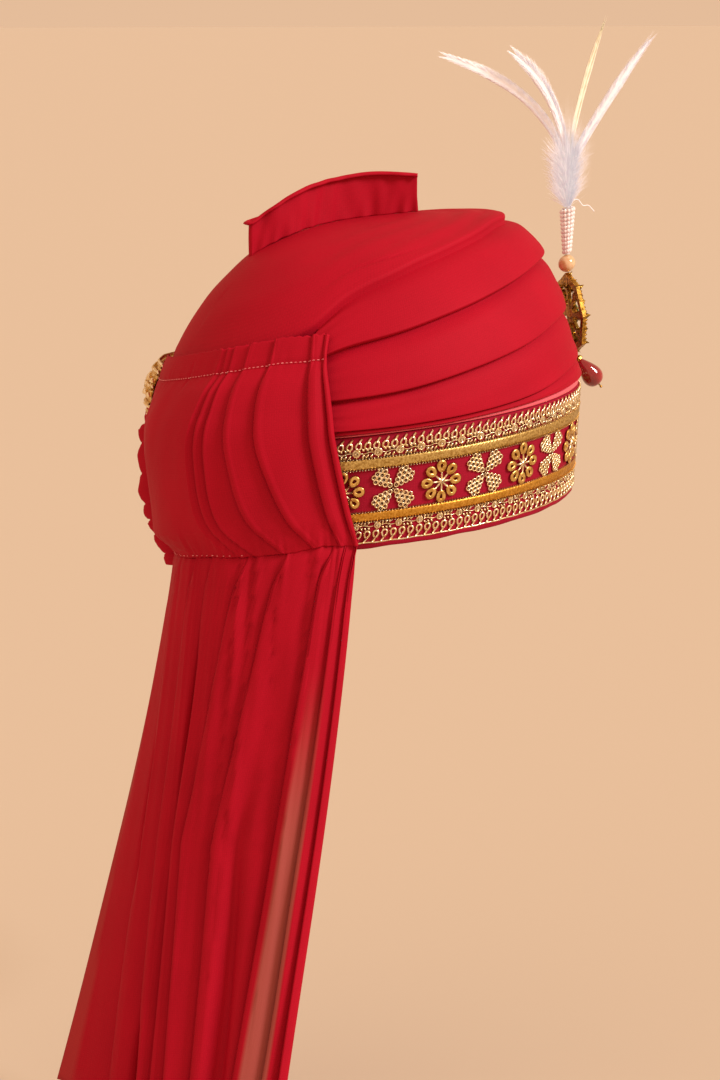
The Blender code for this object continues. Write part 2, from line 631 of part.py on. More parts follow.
def make_tail():
    """Pleated tail that hangs from the seam and spreads towards its hem."""
    foot = np.array([*TAIL_RIGHT_FOOT, TAIL_END]), np.array([*TAIL_LEFT_FOOT, TAIL_END])
    outward = np.array([-(foot[1] - foot[0])[1], (foot[1] - foot[0])[0], 0.0])
    outward /= np.linalg.norm(outward)
    rows = []
    for drop in np.linspace(0, 1, TAIL_ROWS):
        shares, depths = [], []
        places = [np.interp(drop, (0, 0.5, 1), row[1:]) for row in TAIL_FOLDS]
        for number, (here, after) in enumerate(zip(places, places[1:])):
            wide = after - here
            shares += [here, here + 0.25 * wide, here + 0.65 * wide]
            depths += [1.0, 0.0, 0.45]
        shares.append(1.0)
        depths.append(1.0)
        shares, depths = np.array(shares), np.array(depths)
        top = tail_rail(TAIL_FROM + (TAIL_TO - TAIL_FROM) * shares)
        end = (foot[0] + (foot[1] - foot[0]) * shares[:, None]
               + outward * (TAIL_BOW * np.sin(np.pi * shares))[:, None])
        end[:, 2] += end[:, 1] * RIM_SLOPE
        line = top + (end - top) * np.array([drop ** TAIL_SWING, drop ** TAIL_SWING, drop])
        fold = TAIL_PLEAT * (0.25 + 0.75 * drop) * depths * min(1.0, drop * 6)
        rows.append(line + outward * fold[:, None])
    surface = place(np.array(rows))
    return walled("tail", surface, TAIL_WALL, "red_georgette",
                  inward=lambda p: -np.broadcast_to(outward, p.shape))


def make_tuft():
    """Upright fold of cloth that stands along the top of the crown and turns back behind."""
    path = smooth_rows(TUFT_PATH, 2) + (0.0, 0.0, CROWN_HEIGHT)
    rear = path[-1]
    returned = np.array([rear + (-TUFT_RETURN * share, TUFT_LAYER + across, rise)
                         for share, across, rise in TUFT_RETURN_PATH])
    path = np.vstack([path, returned])
    y, x, top = path.T
    foot = np.array([crown_top_at(*point) for point in zip(x, y)]) + 3 * GAP
    grid = [np.stack([x, y, foot + (top - foot) * share], -1) for share in (0.0, 0.5, 1.0)]
    return walled("top_tuft", place(np.array(grid)), TUFT_WALL, "red_georgette")


def crown_top_at(x, y):
    """Height of the crown's outer surface above a point of the plan."""
    angle = math.degrees(math.atan2(-x, -y))
    edge = float(edge_height("cap", angle))
    shares = np.linspace(0, 0.999, 300)
    off = np.interp(shares, *zip(*CAP_PROFILE))
    points = shell(angle, arc_height(edge, shares), off * WRAP_SWELL)
    return float(np.interp(-math.hypot(x, y), -np.hypot(points[:, 0], points[:, 1]), points[:, 2]))


# Brooch, pearl, stem, plume and drop


def brooch_point(x, out, up):
    """Point on the brooch: across, out from the back of its plate, up from its centre."""
    lean = math.radians(BROOCH_LEAN)
    seat = shell(0.0, BROOCH_SEAT * CROWN_HEIGHT, WRAP_SWELL + BROOCH_STAND_OFF)
    return seat + np.array([x, -out * math.cos(lean) + up * math.sin(lean),
                            out * math.sin(lean) + up * math.cos(lean)])


def joined(name, pieces, finish):
    """Unites overlapping closed pieces, given in millimetres, into one solid in metres."""
    solid, *rest = [finish_mesh(name, vertices, faces, finish, merge=0.01)
                    for vertices, faces in pieces]
    for part in rest:
        union = solid.modifiers.new("join", "BOOLEAN")
        union.operation = "UNION"
        union.solver = "EXACT"
        union.object = part
        graph = bpy.context.evaluated_depsgraph_get()
        solid.data = bpy.data.meshes.new_from_object(solid.evaluated_get(graph))
        solid.modifiers.clear()
        bpy.data.objects.remove(part)
    solid.data.transform(Matrix.Scale(MM, 4))
    return solid


def cloth_depth(middle, half):
    """Least distance from the back of the plate to the wraps, over a stretch of its height."""
    depth = np.linspace(0.0, 30.0, 301)
    found = []
    for up in np.linspace(middle - half, middle + half, 9):
        line = np.array([brooch_point(0.0, -d, up) for d in depth])
        cloth = shell(0.0, line[:, 2], wrap_face(line[:, 2]))
        found.append(float(np.interp(0.0, line[:, 1] - cloth[:, 1], depth)))
    return min(found)


def wrap_face(height):
    """How far the wraps' outer face stands off the outer surface, down the front."""
    edges = [float(edge_height(name, 0.0)) for name, _ in WRAP_EDGES]
    off = np.zeros_like(height)
    for high, low in zip(edges, edges[1:] + [float(band_top(0.0))]):
        swell = WRAP_SWELL if low != band_top(0.0) else TUCKED_SWELL
        share = (height - low) / (high - low)
        face = np.interp(share, (0.0, 0.12, 0.45, 1.0),
                         (swell * 0.1, swell, swell * 0.75, -WRAP_SINK))
        off = np.where((share >= 0) & (share < 1), face, off)
    return off


def upright(vertices):
    """Sets a solid drawn flat, with its face along +Z, into the brooch's leaning plane."""
    return np.array([brooch_point(x, out, up) for x, up, out in vertices])


def make_brooch():
    """Gold openwork flower brooch: rim, bars, fused stones, and the scroll behind its head."""
    half_wide, half_high = BROOCH_WIDTH / 2, BROOCH_HEIGHT / 2
    turn = np.linspace(0, 2 * np.pi, BROOCH_RIM_POINTS, endpoint=False)
    reach = 1.0 - BROOCH_SCALLOP * np.abs(np.sin(4 * turn))
    rim = np.stack([reach * half_wide * np.sin(turn), reach * half_high * np.cos(turn)], -1)
    outline = np.stack([np.column_stack([rim * scale, np.full(len(rim), height)])
                        for scale, height in
                        ((1.0, 0.0), (1.0, BROOCH_PLATE), (BROOCH_RIM_INNER, BROOCH_PLATE),
                         (BROOCH_RIM_INNER, 0.0))], 1)
    pieces = [(outline.reshape(-1, 3), grid_faces(len(rim), 4, close_rows=True,
                                                  close_columns=True))]
    for tilt in range(0, 180, 45):
        pieces.append(spoke(math.radians(tilt), half_wide * 0.9, half_high * 0.9))
    pieces.append(stone(0.0, 0.0, HEART_STONE_RADIUS, 10))
    for step in range(PETAL_STONES):
        angle = 2 * math.pi * step / PETAL_STONES
        pieces.append(stone(PETAL_RING * half_wide * math.sin(angle),
                            PETAL_RING * half_high * math.cos(angle), PETAL_STONE_RADIUS, 8))
    pieces += [scroll(half_high * SCROLL_HEIGHT), clasp(half_high * CLASP_HEIGHT)]
    return joined("brooch", [(sloped(upright(vertices)), faces) for vertices, faces in pieces],
                  "antique_gold")


def scroll(middle):
    """Wire loop that curls back from the head of the plate to the cloth."""
    turn = np.linspace(0, 2 * np.pi, SCROLL_SIDES, endpoint=False)
    reach = cloth_depth(middle, SCROLL_LENGTH / 4) - GAP
    half_deep, wire = (reach + SCROLL_BITE) / 2, SCROLL_WIRE / 2
    sections = []
    for wide, grow in ((-wire, -wire), (wire, -wire), (wire, 0.0), (-wire, 0.0)):
        sections.append(np.stack([
            np.full(SCROLL_SIDES, wide), middle + (SCROLL_LENGTH / 2 + grow) * np.cos(turn),
            SCROLL_BITE - half_deep + (half_deep + grow) * np.sin(turn)], -1))
    return np.stack(sections, 1).reshape(-1, 3), grid_faces(SCROLL_SIDES, 4, close_rows=True,
                                                           close_columns=True)


def clasp(middle):
    """Plain post that the brooch is pinned on by, from the plate to the cloth."""
    profile = ((CLASP_RADIUS, GAP - cloth_depth(middle, CLASP_RADIUS)),
               (CLASP_RADIUS, BROOCH_PLATE / 2))
    vertices, faces = lathe(profile, 10)
    return vertices + np.array([0.0, middle, 0.0]), faces


def spoke(angle, half_wide, half_high):
    """Flat bar across the frame; each is a little thinner than the last, like a halved joint."""
    end = np.array([half_wide * math.sin(angle), half_high * math.cos(angle)])
    side = np.array([end[1], -end[0]]) / np.linalg.norm(end) * BROOCH_WIRE / 2
    corners = np.array([end + side, end - side, -end - side, -end + side])
    step = 0.06 * (1 + round(math.degrees(angle) / 45))
    low = np.column_stack([corners, np.full(4, step)])
    high = np.column_stack([corners, np.full(4, BROOCH_PLATE - step)])
    faces = [(3, 2, 1, 0), (4, 5, 6, 7)] + [(k, (k + 1) % 4, (k + 1) % 4 + 4, k + 4)
                                            for k in range(4)]
    return np.vstack([low, high]), faces


def stone(x, z, radius, sides):
    """Faceted stone with a flat table, and the collar that it sits in."""
    profile = ((radius * 0.8, 0.2), (radius, BROOCH_PLATE + 0.7),
               (radius * 0.55, BROOCH_PLATE + STONE_HEIGHT))
    vertices, faces = lathe(profile, sides)
    return vertices + np.array([x, z, 0.0]), faces


def ball(centre, radius, sides=14, rings=9):
    """Round bead."""
    tilt = np.linspace(-np.pi / 2, np.pi / 2, rings)
    profile = [(max(radius * math.cos(t), 0.02 * radius), radius * math.sin(t)) for t in tilt]
    vertices, faces = lathe(profile, sides)
    return vertices + centre, faces


def make_plume_group():
    """Pearl on the brooch's head, the beaded stem, and the feathers."""
    pearl = (brooch_point(0.0, BROOCH_PLATE / 2, BROOCH_HEIGHT / 2)
             + (0.0, 0.0, GAP + PEARL_DIAMETER / 2))
    vertices, faces = ball(pearl, PEARL_DIAMETER / 2)
    finish_mesh("pearl", place(vertices), faces, "golden_pearl")
    foot = pearl + (0.0, 0.0, PEARL_DIAMETER / 2 + GAP)
    profile = []
    for step in range(STEM_TURNS * 2 + 1):
        row = step / (STEM_TURNS * 2)
        radius = (STEM_FOOT_DIAMETER + (STEM_TOP_DIAMETER - STEM_FOOT_DIAMETER) * row) / 2
        profile.append((radius * (1.0 if step % 2 else 0.88), row * STEM_LENGTH))
    vertices, faces = lathe(profile, 10)
    finish_mesh("beaded_stem", place(vertices + foot), faces, "seed_pearl")
    root = foot + (0.0, 0.0, STEM_LENGTH + GAP)
    rings = []
    turn = np.linspace(0, 2 * np.pi, PLUME_FLUFF_SIDES, endpoint=False)
    for share, wide, deep in PLUME_FLUFF:
        rings.append(np.stack([deep * np.cos(turn), wide * np.sin(turn),
                               np.full(len(turn), share * PLUME_FLUFF_HEIGHT)], -1))
    vertices = np.vstack(rings)
    faces = grid_faces(len(rings), len(turn), close_columns=True)
    faces.append(tuple(range(len(turn))))
    faces.append(tuple(range(len(vertices) - len(turn), len(vertices))))
    pieces = [(sloped(vertices + root), faces)]
    for vane in PLUME_VANES:
        vertices, faces = plume_vane(*vane[1:])
        pieces.append((sloped(vertices + root), faces))
    return joined("plume", pieces, "white_feather")


def plume_vane(forward, left, up, bow, half_width):
    """One curved feather from inside the fluff to its tip, as a flat leaf-shaped blade."""
    shares = np.linspace(0, 1, PLUME_VANE_STEPS)
    reach = np.clip(shares * 1.06 - 0.02, 0, 1)
    y = -forward * reach ** 1.7
    z = (PLUME_VANE_FOOT + (up - PLUME_VANE_FOOT) * reach
         + bow * 0.5 * np.sin(np.pi * reach))
    x = left * reach
    width = half_width * np.interp(shares, (0, 0.25, 0.6, 0.9, 1.0), (0.5, 0.9, 1.0, 0.55, 0.12))
    path = np.stack([x, y, z], -1)
    along = np.gradient(path, axis=0)
    along /= np.linalg.norm(along, axis=1, keepdims=True)
    across = np.cross(along, np.array([1.0, 0.0, 0.0]))
    across /= np.linalg.norm(across, axis=1, keepdims=True)
    sideways = np.cross(across, along)
    outline = ((-1, 0), (0, -PLUME_VANE_WALL), (1, 0), (0, PLUME_VANE_WALL))
    sections = np.stack([path + across * (a * width)[:, None] + sideways * b for a, b in outline], 1)
    vertices = sections.reshape(-1, 3)
    faces = grid_faces(PLUME_VANE_STEPS, len(outline), close_columns=True)
    faces.append(tuple(range(len(outline))))
    faces.append(tuple(range(len(vertices) - len(outline), len(vertices))))
    return vertices, faces


def make_drop():
    """Ruby glass teardrop in its gold cap, swung out under the brooch."""
    seat = (brooch_point(0.0, BROOCH_PLATE / 2, -BROOCH_HEIGHT / 2)
            + (0.0, -DROP_HANG / 2, -DROP_HANG))
    tilt = math.radians(DROP_TILT)
    down = np.array([0.0, -math.sin(tilt), -math.cos(tilt)])
    side = np.array([1.0, 0.0, 0.0])
    front = np.cross(side, down)

    def laid(vertices, start):
        """Lays a solid turned about Z along the drop's own line."""
        return (seat + vertices[:, :1] * side + vertices[:, 1:2] * front
                + (vertices[:, 2:3] + start) * down)

    half = DROP_DIAMETER / 2
    profile = [(half * r, DROP_LENGTH * h) for r, h in (
        (0.16, 0.00), (0.34, 0.08), (0.58, 0.24), (0.84, 0.44), (1.00, 0.64), (0.94, 0.80),
        (0.66, 0.93), (0.20, 1.00))]
    vertices, faces = lathe(profile, 14)
    finish_mesh("ruby_drop", place(laid(vertices, DROP_CAP_LENGTH + GAP)), faces, "ruby_glass")
    profile = [(0.5, 0.0), (1.1, 0.5), (1.1, 1.3), (2.0, 1.9), (2.4, DROP_CAP_LENGTH)]
    vertices, faces = lathe(profile, 10)
    finish_mesh("drop_cap", place(laid(vertices, 0.0)), faces, "antique_gold")


def main():
    """Builds the turban from the rim up."""
    for leftover in list(bpy.data.objects):
        bpy.data.objects.remove(leftover)
    make_crown()
    names = [name for name, _ in WRAP_EDGES]
    for above, name in zip(names, names[1:]):
        make_wrap(name, above, lambda angles, name=name: edge_height(name, angles), WRAP_SWELL)
    make_wrap("wrap_4", "wrap_3", band_top, TUCKED_SWELL)
    make_band()
    make_motifs()
    make_panel()
    make_ruche()
    make_keeper()
    make_tail()
    make_tuft()
    make_brooch()
    make_plume_group()
    make_drop()


main()
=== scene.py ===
"""Dresses a ready-tied georgette turban: wrapped crown, embroidered rim band, pleated back
panel and tail, upright fold of cloth, and a gold brooch with a feather plume.

Lengths are in millimetres until place() turns them into metres. The front faces -Y, the
wearer's right is -X, and an angle round the head is in degrees from the front towards the
wearer's right. The rim slopes up towards the front.
"""

import logging
import math
from dataclasses import dataclass
from enum import Enum

import bpy
import numpy as np
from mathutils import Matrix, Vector


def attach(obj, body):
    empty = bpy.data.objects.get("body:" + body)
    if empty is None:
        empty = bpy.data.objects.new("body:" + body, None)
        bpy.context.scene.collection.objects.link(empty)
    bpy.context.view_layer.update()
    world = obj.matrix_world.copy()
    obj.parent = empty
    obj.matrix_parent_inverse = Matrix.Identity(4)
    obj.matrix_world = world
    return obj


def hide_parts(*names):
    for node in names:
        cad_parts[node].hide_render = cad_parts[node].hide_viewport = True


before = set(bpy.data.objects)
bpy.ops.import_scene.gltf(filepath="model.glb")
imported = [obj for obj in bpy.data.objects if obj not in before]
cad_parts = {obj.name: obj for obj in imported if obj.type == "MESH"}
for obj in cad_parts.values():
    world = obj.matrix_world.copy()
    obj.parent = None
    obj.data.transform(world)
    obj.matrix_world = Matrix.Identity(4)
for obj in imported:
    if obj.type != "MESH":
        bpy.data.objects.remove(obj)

Material = bpy.types.Material
Socket = bpy.types.NodeSocket

LOG = logging.getLogger("turban")
MM = 0.001
PASTE_IOR = 1.5
DYE_SCALE = 26.0                     # slow dye variation, patches a metre
RIM_SLOPE = math.tan(math.radians(5.5))
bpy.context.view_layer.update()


class Slot(Enum):
    """Names of the part's material slots, one for each kind of finish."""

    CLOTH = "red_georgette"
    BAND = "band_silk"
    TAPE = "pink_tape"
    THREAD = "gold_thread"
    GOLD = "antique_gold"
    PEARL = "golden_pearl"
    SEED = "seed_pearl"
    FEATHER = "white_feather"
    GLASS = "ruby_glass"


def linear(code: str) -> tuple[float, float, float, float]:
    """Turns an sRGB hex colour into a linear one.

    Args:
        code: colour such as "#A01020".

    Returns:
        Red, green, blue and an alpha of 1.
    """
    shares = [int(code[k:k + 2], 16) / 255 for k in (1, 3, 5)]
    return (*(s / 12.92 if s <= 0.04045 else ((s + 0.055) / 1.055) ** 2.4 for s in shares), 1.0)


def fill(tree: bpy.types.NodeTree, node: bpy.types.Node, inputs: dict) -> None:
    """Links or sets a node's inputs, given by name or number."""
    for name, value in inputs.items():
        if isinstance(value, bpy.types.NodeSocket):
            tree.links.new(value, node.inputs[name])
        else:
            node.inputs[name].default_value = value


def add_node(tree: bpy.types.NodeTree, kind: str, inputs: dict | None = None,
             **settings) -> bpy.types.Node:
    """Adds one node with its settings, and fills or links its inputs.

    Args:
        tree: the material's node tree.
        kind: Blender's name of the node.
        inputs: values or output sockets by input name or number.
        settings: attributes of the node.

    Returns:
        The node.
    """
    made = tree.nodes.new(kind)
    for name, value in settings.items():
        setattr(made, name, value)
    fill(tree, made, inputs or {})
    return made


def linked(name: str, data: bpy.types.ID) -> bpy.types.Object:
    """Makes an object of some data and links it to the scene."""
    made = bpy.data.objects.new(name, data)
    bpy.context.scene.collection.objects.link(made)
    return made


class Nodes:
    """The nodes of one material, with short ways to add what the finishes share."""

    def __init__(self, name: str) -> None:
        """Makes the material and its texture coordinates."""
        self.material = bpy.data.materials.new(name)
        self.material.use_nodes = True
        self.tree = self.material.node_tree
        self.place = add_node(self.tree, "ShaderNodeTexCoord").outputs

    def noise(self, scale: float, detail: float, rough: float = 0.5) -> Socket:
        """Noise with about scale grains a metre."""
        return add_node(self.tree, "ShaderNodeTexNoise",
                        {"Vector": self.place["Object"], "Scale": scale, "Detail": detail,
                         "Roughness": rough}).outputs["Fac"]

    def bands(self, pitch: float, way: str, inputs: dict) -> Socket:
        """Bands every pitch millimetres of the UV: the texture's scale is 2 pi / 20 / pitch."""
        scale = 2 * math.pi / 20 / (pitch * MM)
        return add_node(self.tree, "ShaderNodeTexWave",
                        {"Vector": self.place["UV"], "Scale": scale, **inputs},
                        wave_type="BANDS", bands_direction=way).outputs["Fac"]

    def maths(self, operation: str, *values: Socket | float) -> Socket:
        """One Math node over some values."""
        return add_node(self.tree, "ShaderNodeMath", dict(enumerate(values)),
                        operation=operation).outputs[0]

    def ranged(self, value: Socket, low: float, high: float, to_low: float = 0.0,
               to_high: float = 1.0) -> Socket:
        """Maps a value's low and high onto two others."""
        return add_node(self.tree, "ShaderNodeMapRange",
                        {"Value": value, "From Min": low, "From Max": high,
                         "To Min": to_low, "To Max": to_high}).outputs[0]

    def blend(self, share: Socket, low: Socket | tuple, high: Socket | tuple) -> Socket:
        """Mixes two colours, each a socket or a linear colour."""
        return add_node(self.tree, "ShaderNodeMix", {0: share, 6: low, 7: high},
                        data_type="RGBA").outputs[2]

    def finished(self, height: Socket, strength: float, relief: float,
                 inputs: dict) -> Material:
        """Fills the shader's inputs, its bump too, and gives the material.

        Args:
            height: what the bump follows.
            strength: of the bump.
            relief: depth of the bump in millimetres.
            inputs: values or sockets by the shader's own input names.

        Returns:
            The material.
        """
        bump = add_node(self.tree, "ShaderNodeBump",
                        {"Height": height, "Strength": strength, "Distance": relief * MM})
        fill(self.tree, self.tree.nodes["Principled BSDF"],
             {"Normal": bump.outputs["Normal"], **inputs})
        return self.material


@dataclass(frozen=True)
class Woven:
    """A woven cloth: two sets of threads, crepe grain, slow dye variation, painted shade in the
    low parts of its relief, painted see-through light, and a soft sheen.
    """

    name: str
    lit: str
    deep: str
    pitch: float = 1.15
    grain: float = 0.9
    relief: float = 0.10
    roughness: float = 0.72
    sheen: float = 0.35
    sheen_colour: str = "#F08080"
    # painted light: pale pink mixed in for light seen through the cloth and for a hem highlight
    painted_sheer_light: str = "#A4504A"
    satin: float = 0.0
    specular: float = 0.12

    def material(self) -> Material:
        """Makes the cloth's material."""
        nodes = Nodes(self.name)
        threads = [nodes.bands(self.pitch, way, {"Distortion": 0.9, "Detail": 1.0,
                                                 "Detail Scale": 2.0}) for way in ("X", "Y")]
        crepe = nodes.noise(1 / (self.grain * MM), 2.0, 0.6)
        height = nodes.maths("MULTIPLY_ADD", nodes.maths("MULTIPLY", *threads), 0.45, crepe)
        # Painted shade: the colour runs from deep to lit as the thread and crepe relief rises, so
        # the weave's low parts are painted darker; the slow noise added here is dye that differs
        # at random.
        depth = nodes.maths("MULTIPLY_ADD", height, 0.80, nodes.noise(DYE_SCALE, 3.0))
        colour = nodes.blend(nodes.ranged(depth, 0.10, 1.40), linear(self.deep),
                             linear(self.lit))
        # Painted light: where this attribute is set, the colour goes towards the sheer pink. It
        # stands in for light seen through single layers and for a highlight along a hem.
        sheer_light_mask = add_node(nodes.tree, "ShaderNodeAttribute", attribute_name="painted_sheer_light")
        return nodes.finished(height, 0.55, self.relief, {
            "Base Color": nodes.blend(sheer_light_mask.outputs["Fac"], colour, linear(self.painted_sheer_light)),
            "Roughness": self.roughness, "Sheen Weight": self.sheen, "Sheen Roughness": 0.45,
            "Sheen Tint": linear(self.sheen_colour), "Anisotropic": self.satin,
            "Specular IOR Level": self.specular})


@dataclass(frozen=True)
class Metal:
    """A gold or gilt finish: worn colour in the hollows, fine scratches, uneven gloss."""

    name: str
    bright: str
    worn: str
    roughness: float = 0.3
    grain: float = 1.6
    relief: float = 0.12
    rib: float = 0.0

    def material(self) -> Material:
        """Makes the metal's material."""
        nodes = Nodes(self.name)
        patina = nodes.noise(1 / (self.grain * MM), 4.0, 0.65)
        height = patina
        if self.rib:
            ribs = nodes.bands(self.rib, "DIAGONAL", {"Distortion": 0.6})
            height = nodes.maths("ADD", ribs, patina)
        colour = nodes.blend(nodes.ranged(patina, 0.35, 0.62), linear(self.worn),
                             linear(self.bright))
        gloss = nodes.ranged(patina, 0.3, 0.7, self.roughness + 0.12, self.roughness - 0.06)
        return nodes.finished(height, 0.5, self.relief, {
            "Base Color": colour, "Roughness": gloss, "Metallic": 1.0})


@dataclass(frozen=True)
class Gem:
    """A pearl, stone, feather or thread: coloured, with its own gloss, coat and clarity, and a
    painted glow.
    """

    name: str
    base: str
    second: str
    roughness: float = 0.25
    clarity: float = 0.0
    coat: float = 0.0
    mottle: float = 3.0
    # painted glow: emission strength in the thing's own colour, though it is no lamp
    painted_glow: float = 0.0

    def material(self) -> Material:
        """Makes the material: two colours mottled by noise, under its own gloss, with a painted
        glow of emission in its own colour.
        """
        nodes = Nodes(self.name)
        mottle = nodes.noise(1 / (self.mottle * MM), 2.0)
        colour = nodes.blend(nodes.ranged(mottle, 0.35, 0.65), linear(self.base),
                             linear(self.second))
        return nodes.finished(mottle, 0.15, 0.05, {
            "Base Color": colour, "Roughness": self.roughness, "IOR": PASTE_IOR,
            "Transmission Weight": self.clarity, "Coat Weight": self.coat,
            "Coat Roughness": 0.06, "Emission Color": linear(self.base),
            "Emission Strength": self.painted_glow})


# Silk georgette: matt crimson with a crepe grain. The yarns are 0.3 mm apart, too fine to
# show, so they are drawn at about 1.2 mm
GEORGETTE = Woven("silk georgette, crimson", "#B20A26", "#98061E", sheen=0.02,
                  sheen_colour="#FF3040")
# Dupion ground of the band: a pinker red, with slubs
DUPION = Woven("silk dupion, carmine", "#A21230", "#7E0A20", pitch=1.3, grain=1.4, sheen=0.08,
               sheen_colour="#FF5070")
# Satin tape above the band: smooth, pale carmine, glossy across its ribs
SATIN = Woven("satin tape, rose", "#EE6878", "#D84056", pitch=0.9, roughness=0.34, sheen=0.1,
              relief=0.06, satin=0.5, specular=0.5)
# Inner side of the crown's cloth, seen in the head opening: plainer, and darker as painted shade
# inside the opening
SHADED_INNER_SIDE = Woven("silk georgette, inner side", "#8C1020", "#6E0A18", pitch=1.4, sheen=0.1)
# Zari: gilt wire flattened round a silk core, laid as a ribbed braid
ZARI = Metal("zari braid, gilt", "#E4C880", "#A07A38", roughness=0.36, grain=1.2, rib=1.1)
ZARI_ORANGE = Metal("zari braid, deep gilt", "#E6B050", "#B07820", roughness=0.36, grain=1.2,
                    rib=1.1)
# Gilt purl and sequin rings: pale, bright gold that sparkles
PURL = Metal("gilt purl wire, pale", "#FFF4D8", "#E4BE78", roughness=0.28, grain=1.5)
SEQUIN = Metal("gilt sequin foil", "#F0CC80", "#B48438", roughness=0.28, grain=2.2)
# Old cast gold of the brooch, darker in its hollows
OLD_GOLD = Metal("antique cast gold", "#D8A84C", "#5E4010", roughness=0.27, grain=1.5)
GOLDEN_PEARL = Gem("golden pearl", "#E6C49A", "#D2A470", roughness=0.16, coat=1.0)
# The seed pearls and feathers have a painted glow: emission that stands in for light scattered
# inside them.
SEED_NACRE = Gem("seed pearl nacre", "#F6EEEC", "#E6DAD8", roughness=0.3, coat=0.4, painted_glow=0.06)
FEATHER = Gem("ostrich feather, white", "#F8F4F4", "#EEE8EC", roughness=0.9, painted_glow=0.13)
CREAM_FEATHER = Gem("goose feather, cream", "#FAF2DC", "#F0E6CC", roughness=0.8, painted_glow=0.09)
RUBY = Gem("ruby glass", "#B00420", "#8A0216", roughness=0.05, clarity=0.25, coat=1.0,
           mottle=9.0)
AMBER = Gem("amber paste stone", "#F0A820", "#C87810", roughness=0.06, clarity=0.6, coat=0.6)
GREEN = Gem("green paste stone", "#3C7828", "#A0B860", roughness=0.06, clarity=0.5, coat=0.6)
RED_STONE = Gem("red paste stone", "#B01020", "#70060E", roughness=0.06, clarity=0.4, coat=0.6)
CRYSTAL = Gem("clear paste crystal", "#F6E0B0", "#D8B474", roughness=0.05, clarity=0.45,
              coat=0.8)
STITCH = Gem("pale cotton stitch", "#F08C94", "#E0606E", roughness=0.7)


def unit(vectors: np.ndarray) -> np.ndarray:
    """Vectors of length 1 along these."""
    return vectors / np.linalg.norm(vectors, axis=-1, keepdims=True)


def arc_length(path: np.ndarray) -> np.ndarray:
    """Length along a path at each of its points."""
    return np.concatenate([[0], np.cumsum(np.linalg.norm(np.diff(path, axis=0), axis=1))])


def sampled(where: np.ndarray, at: np.ndarray, path: np.ndarray) -> np.ndarray:
    """Points of a path, whose own points are at some shares or lengths."""
    return np.stack([np.interp(where, at, path[:, k]) for k in range(3)], -1)


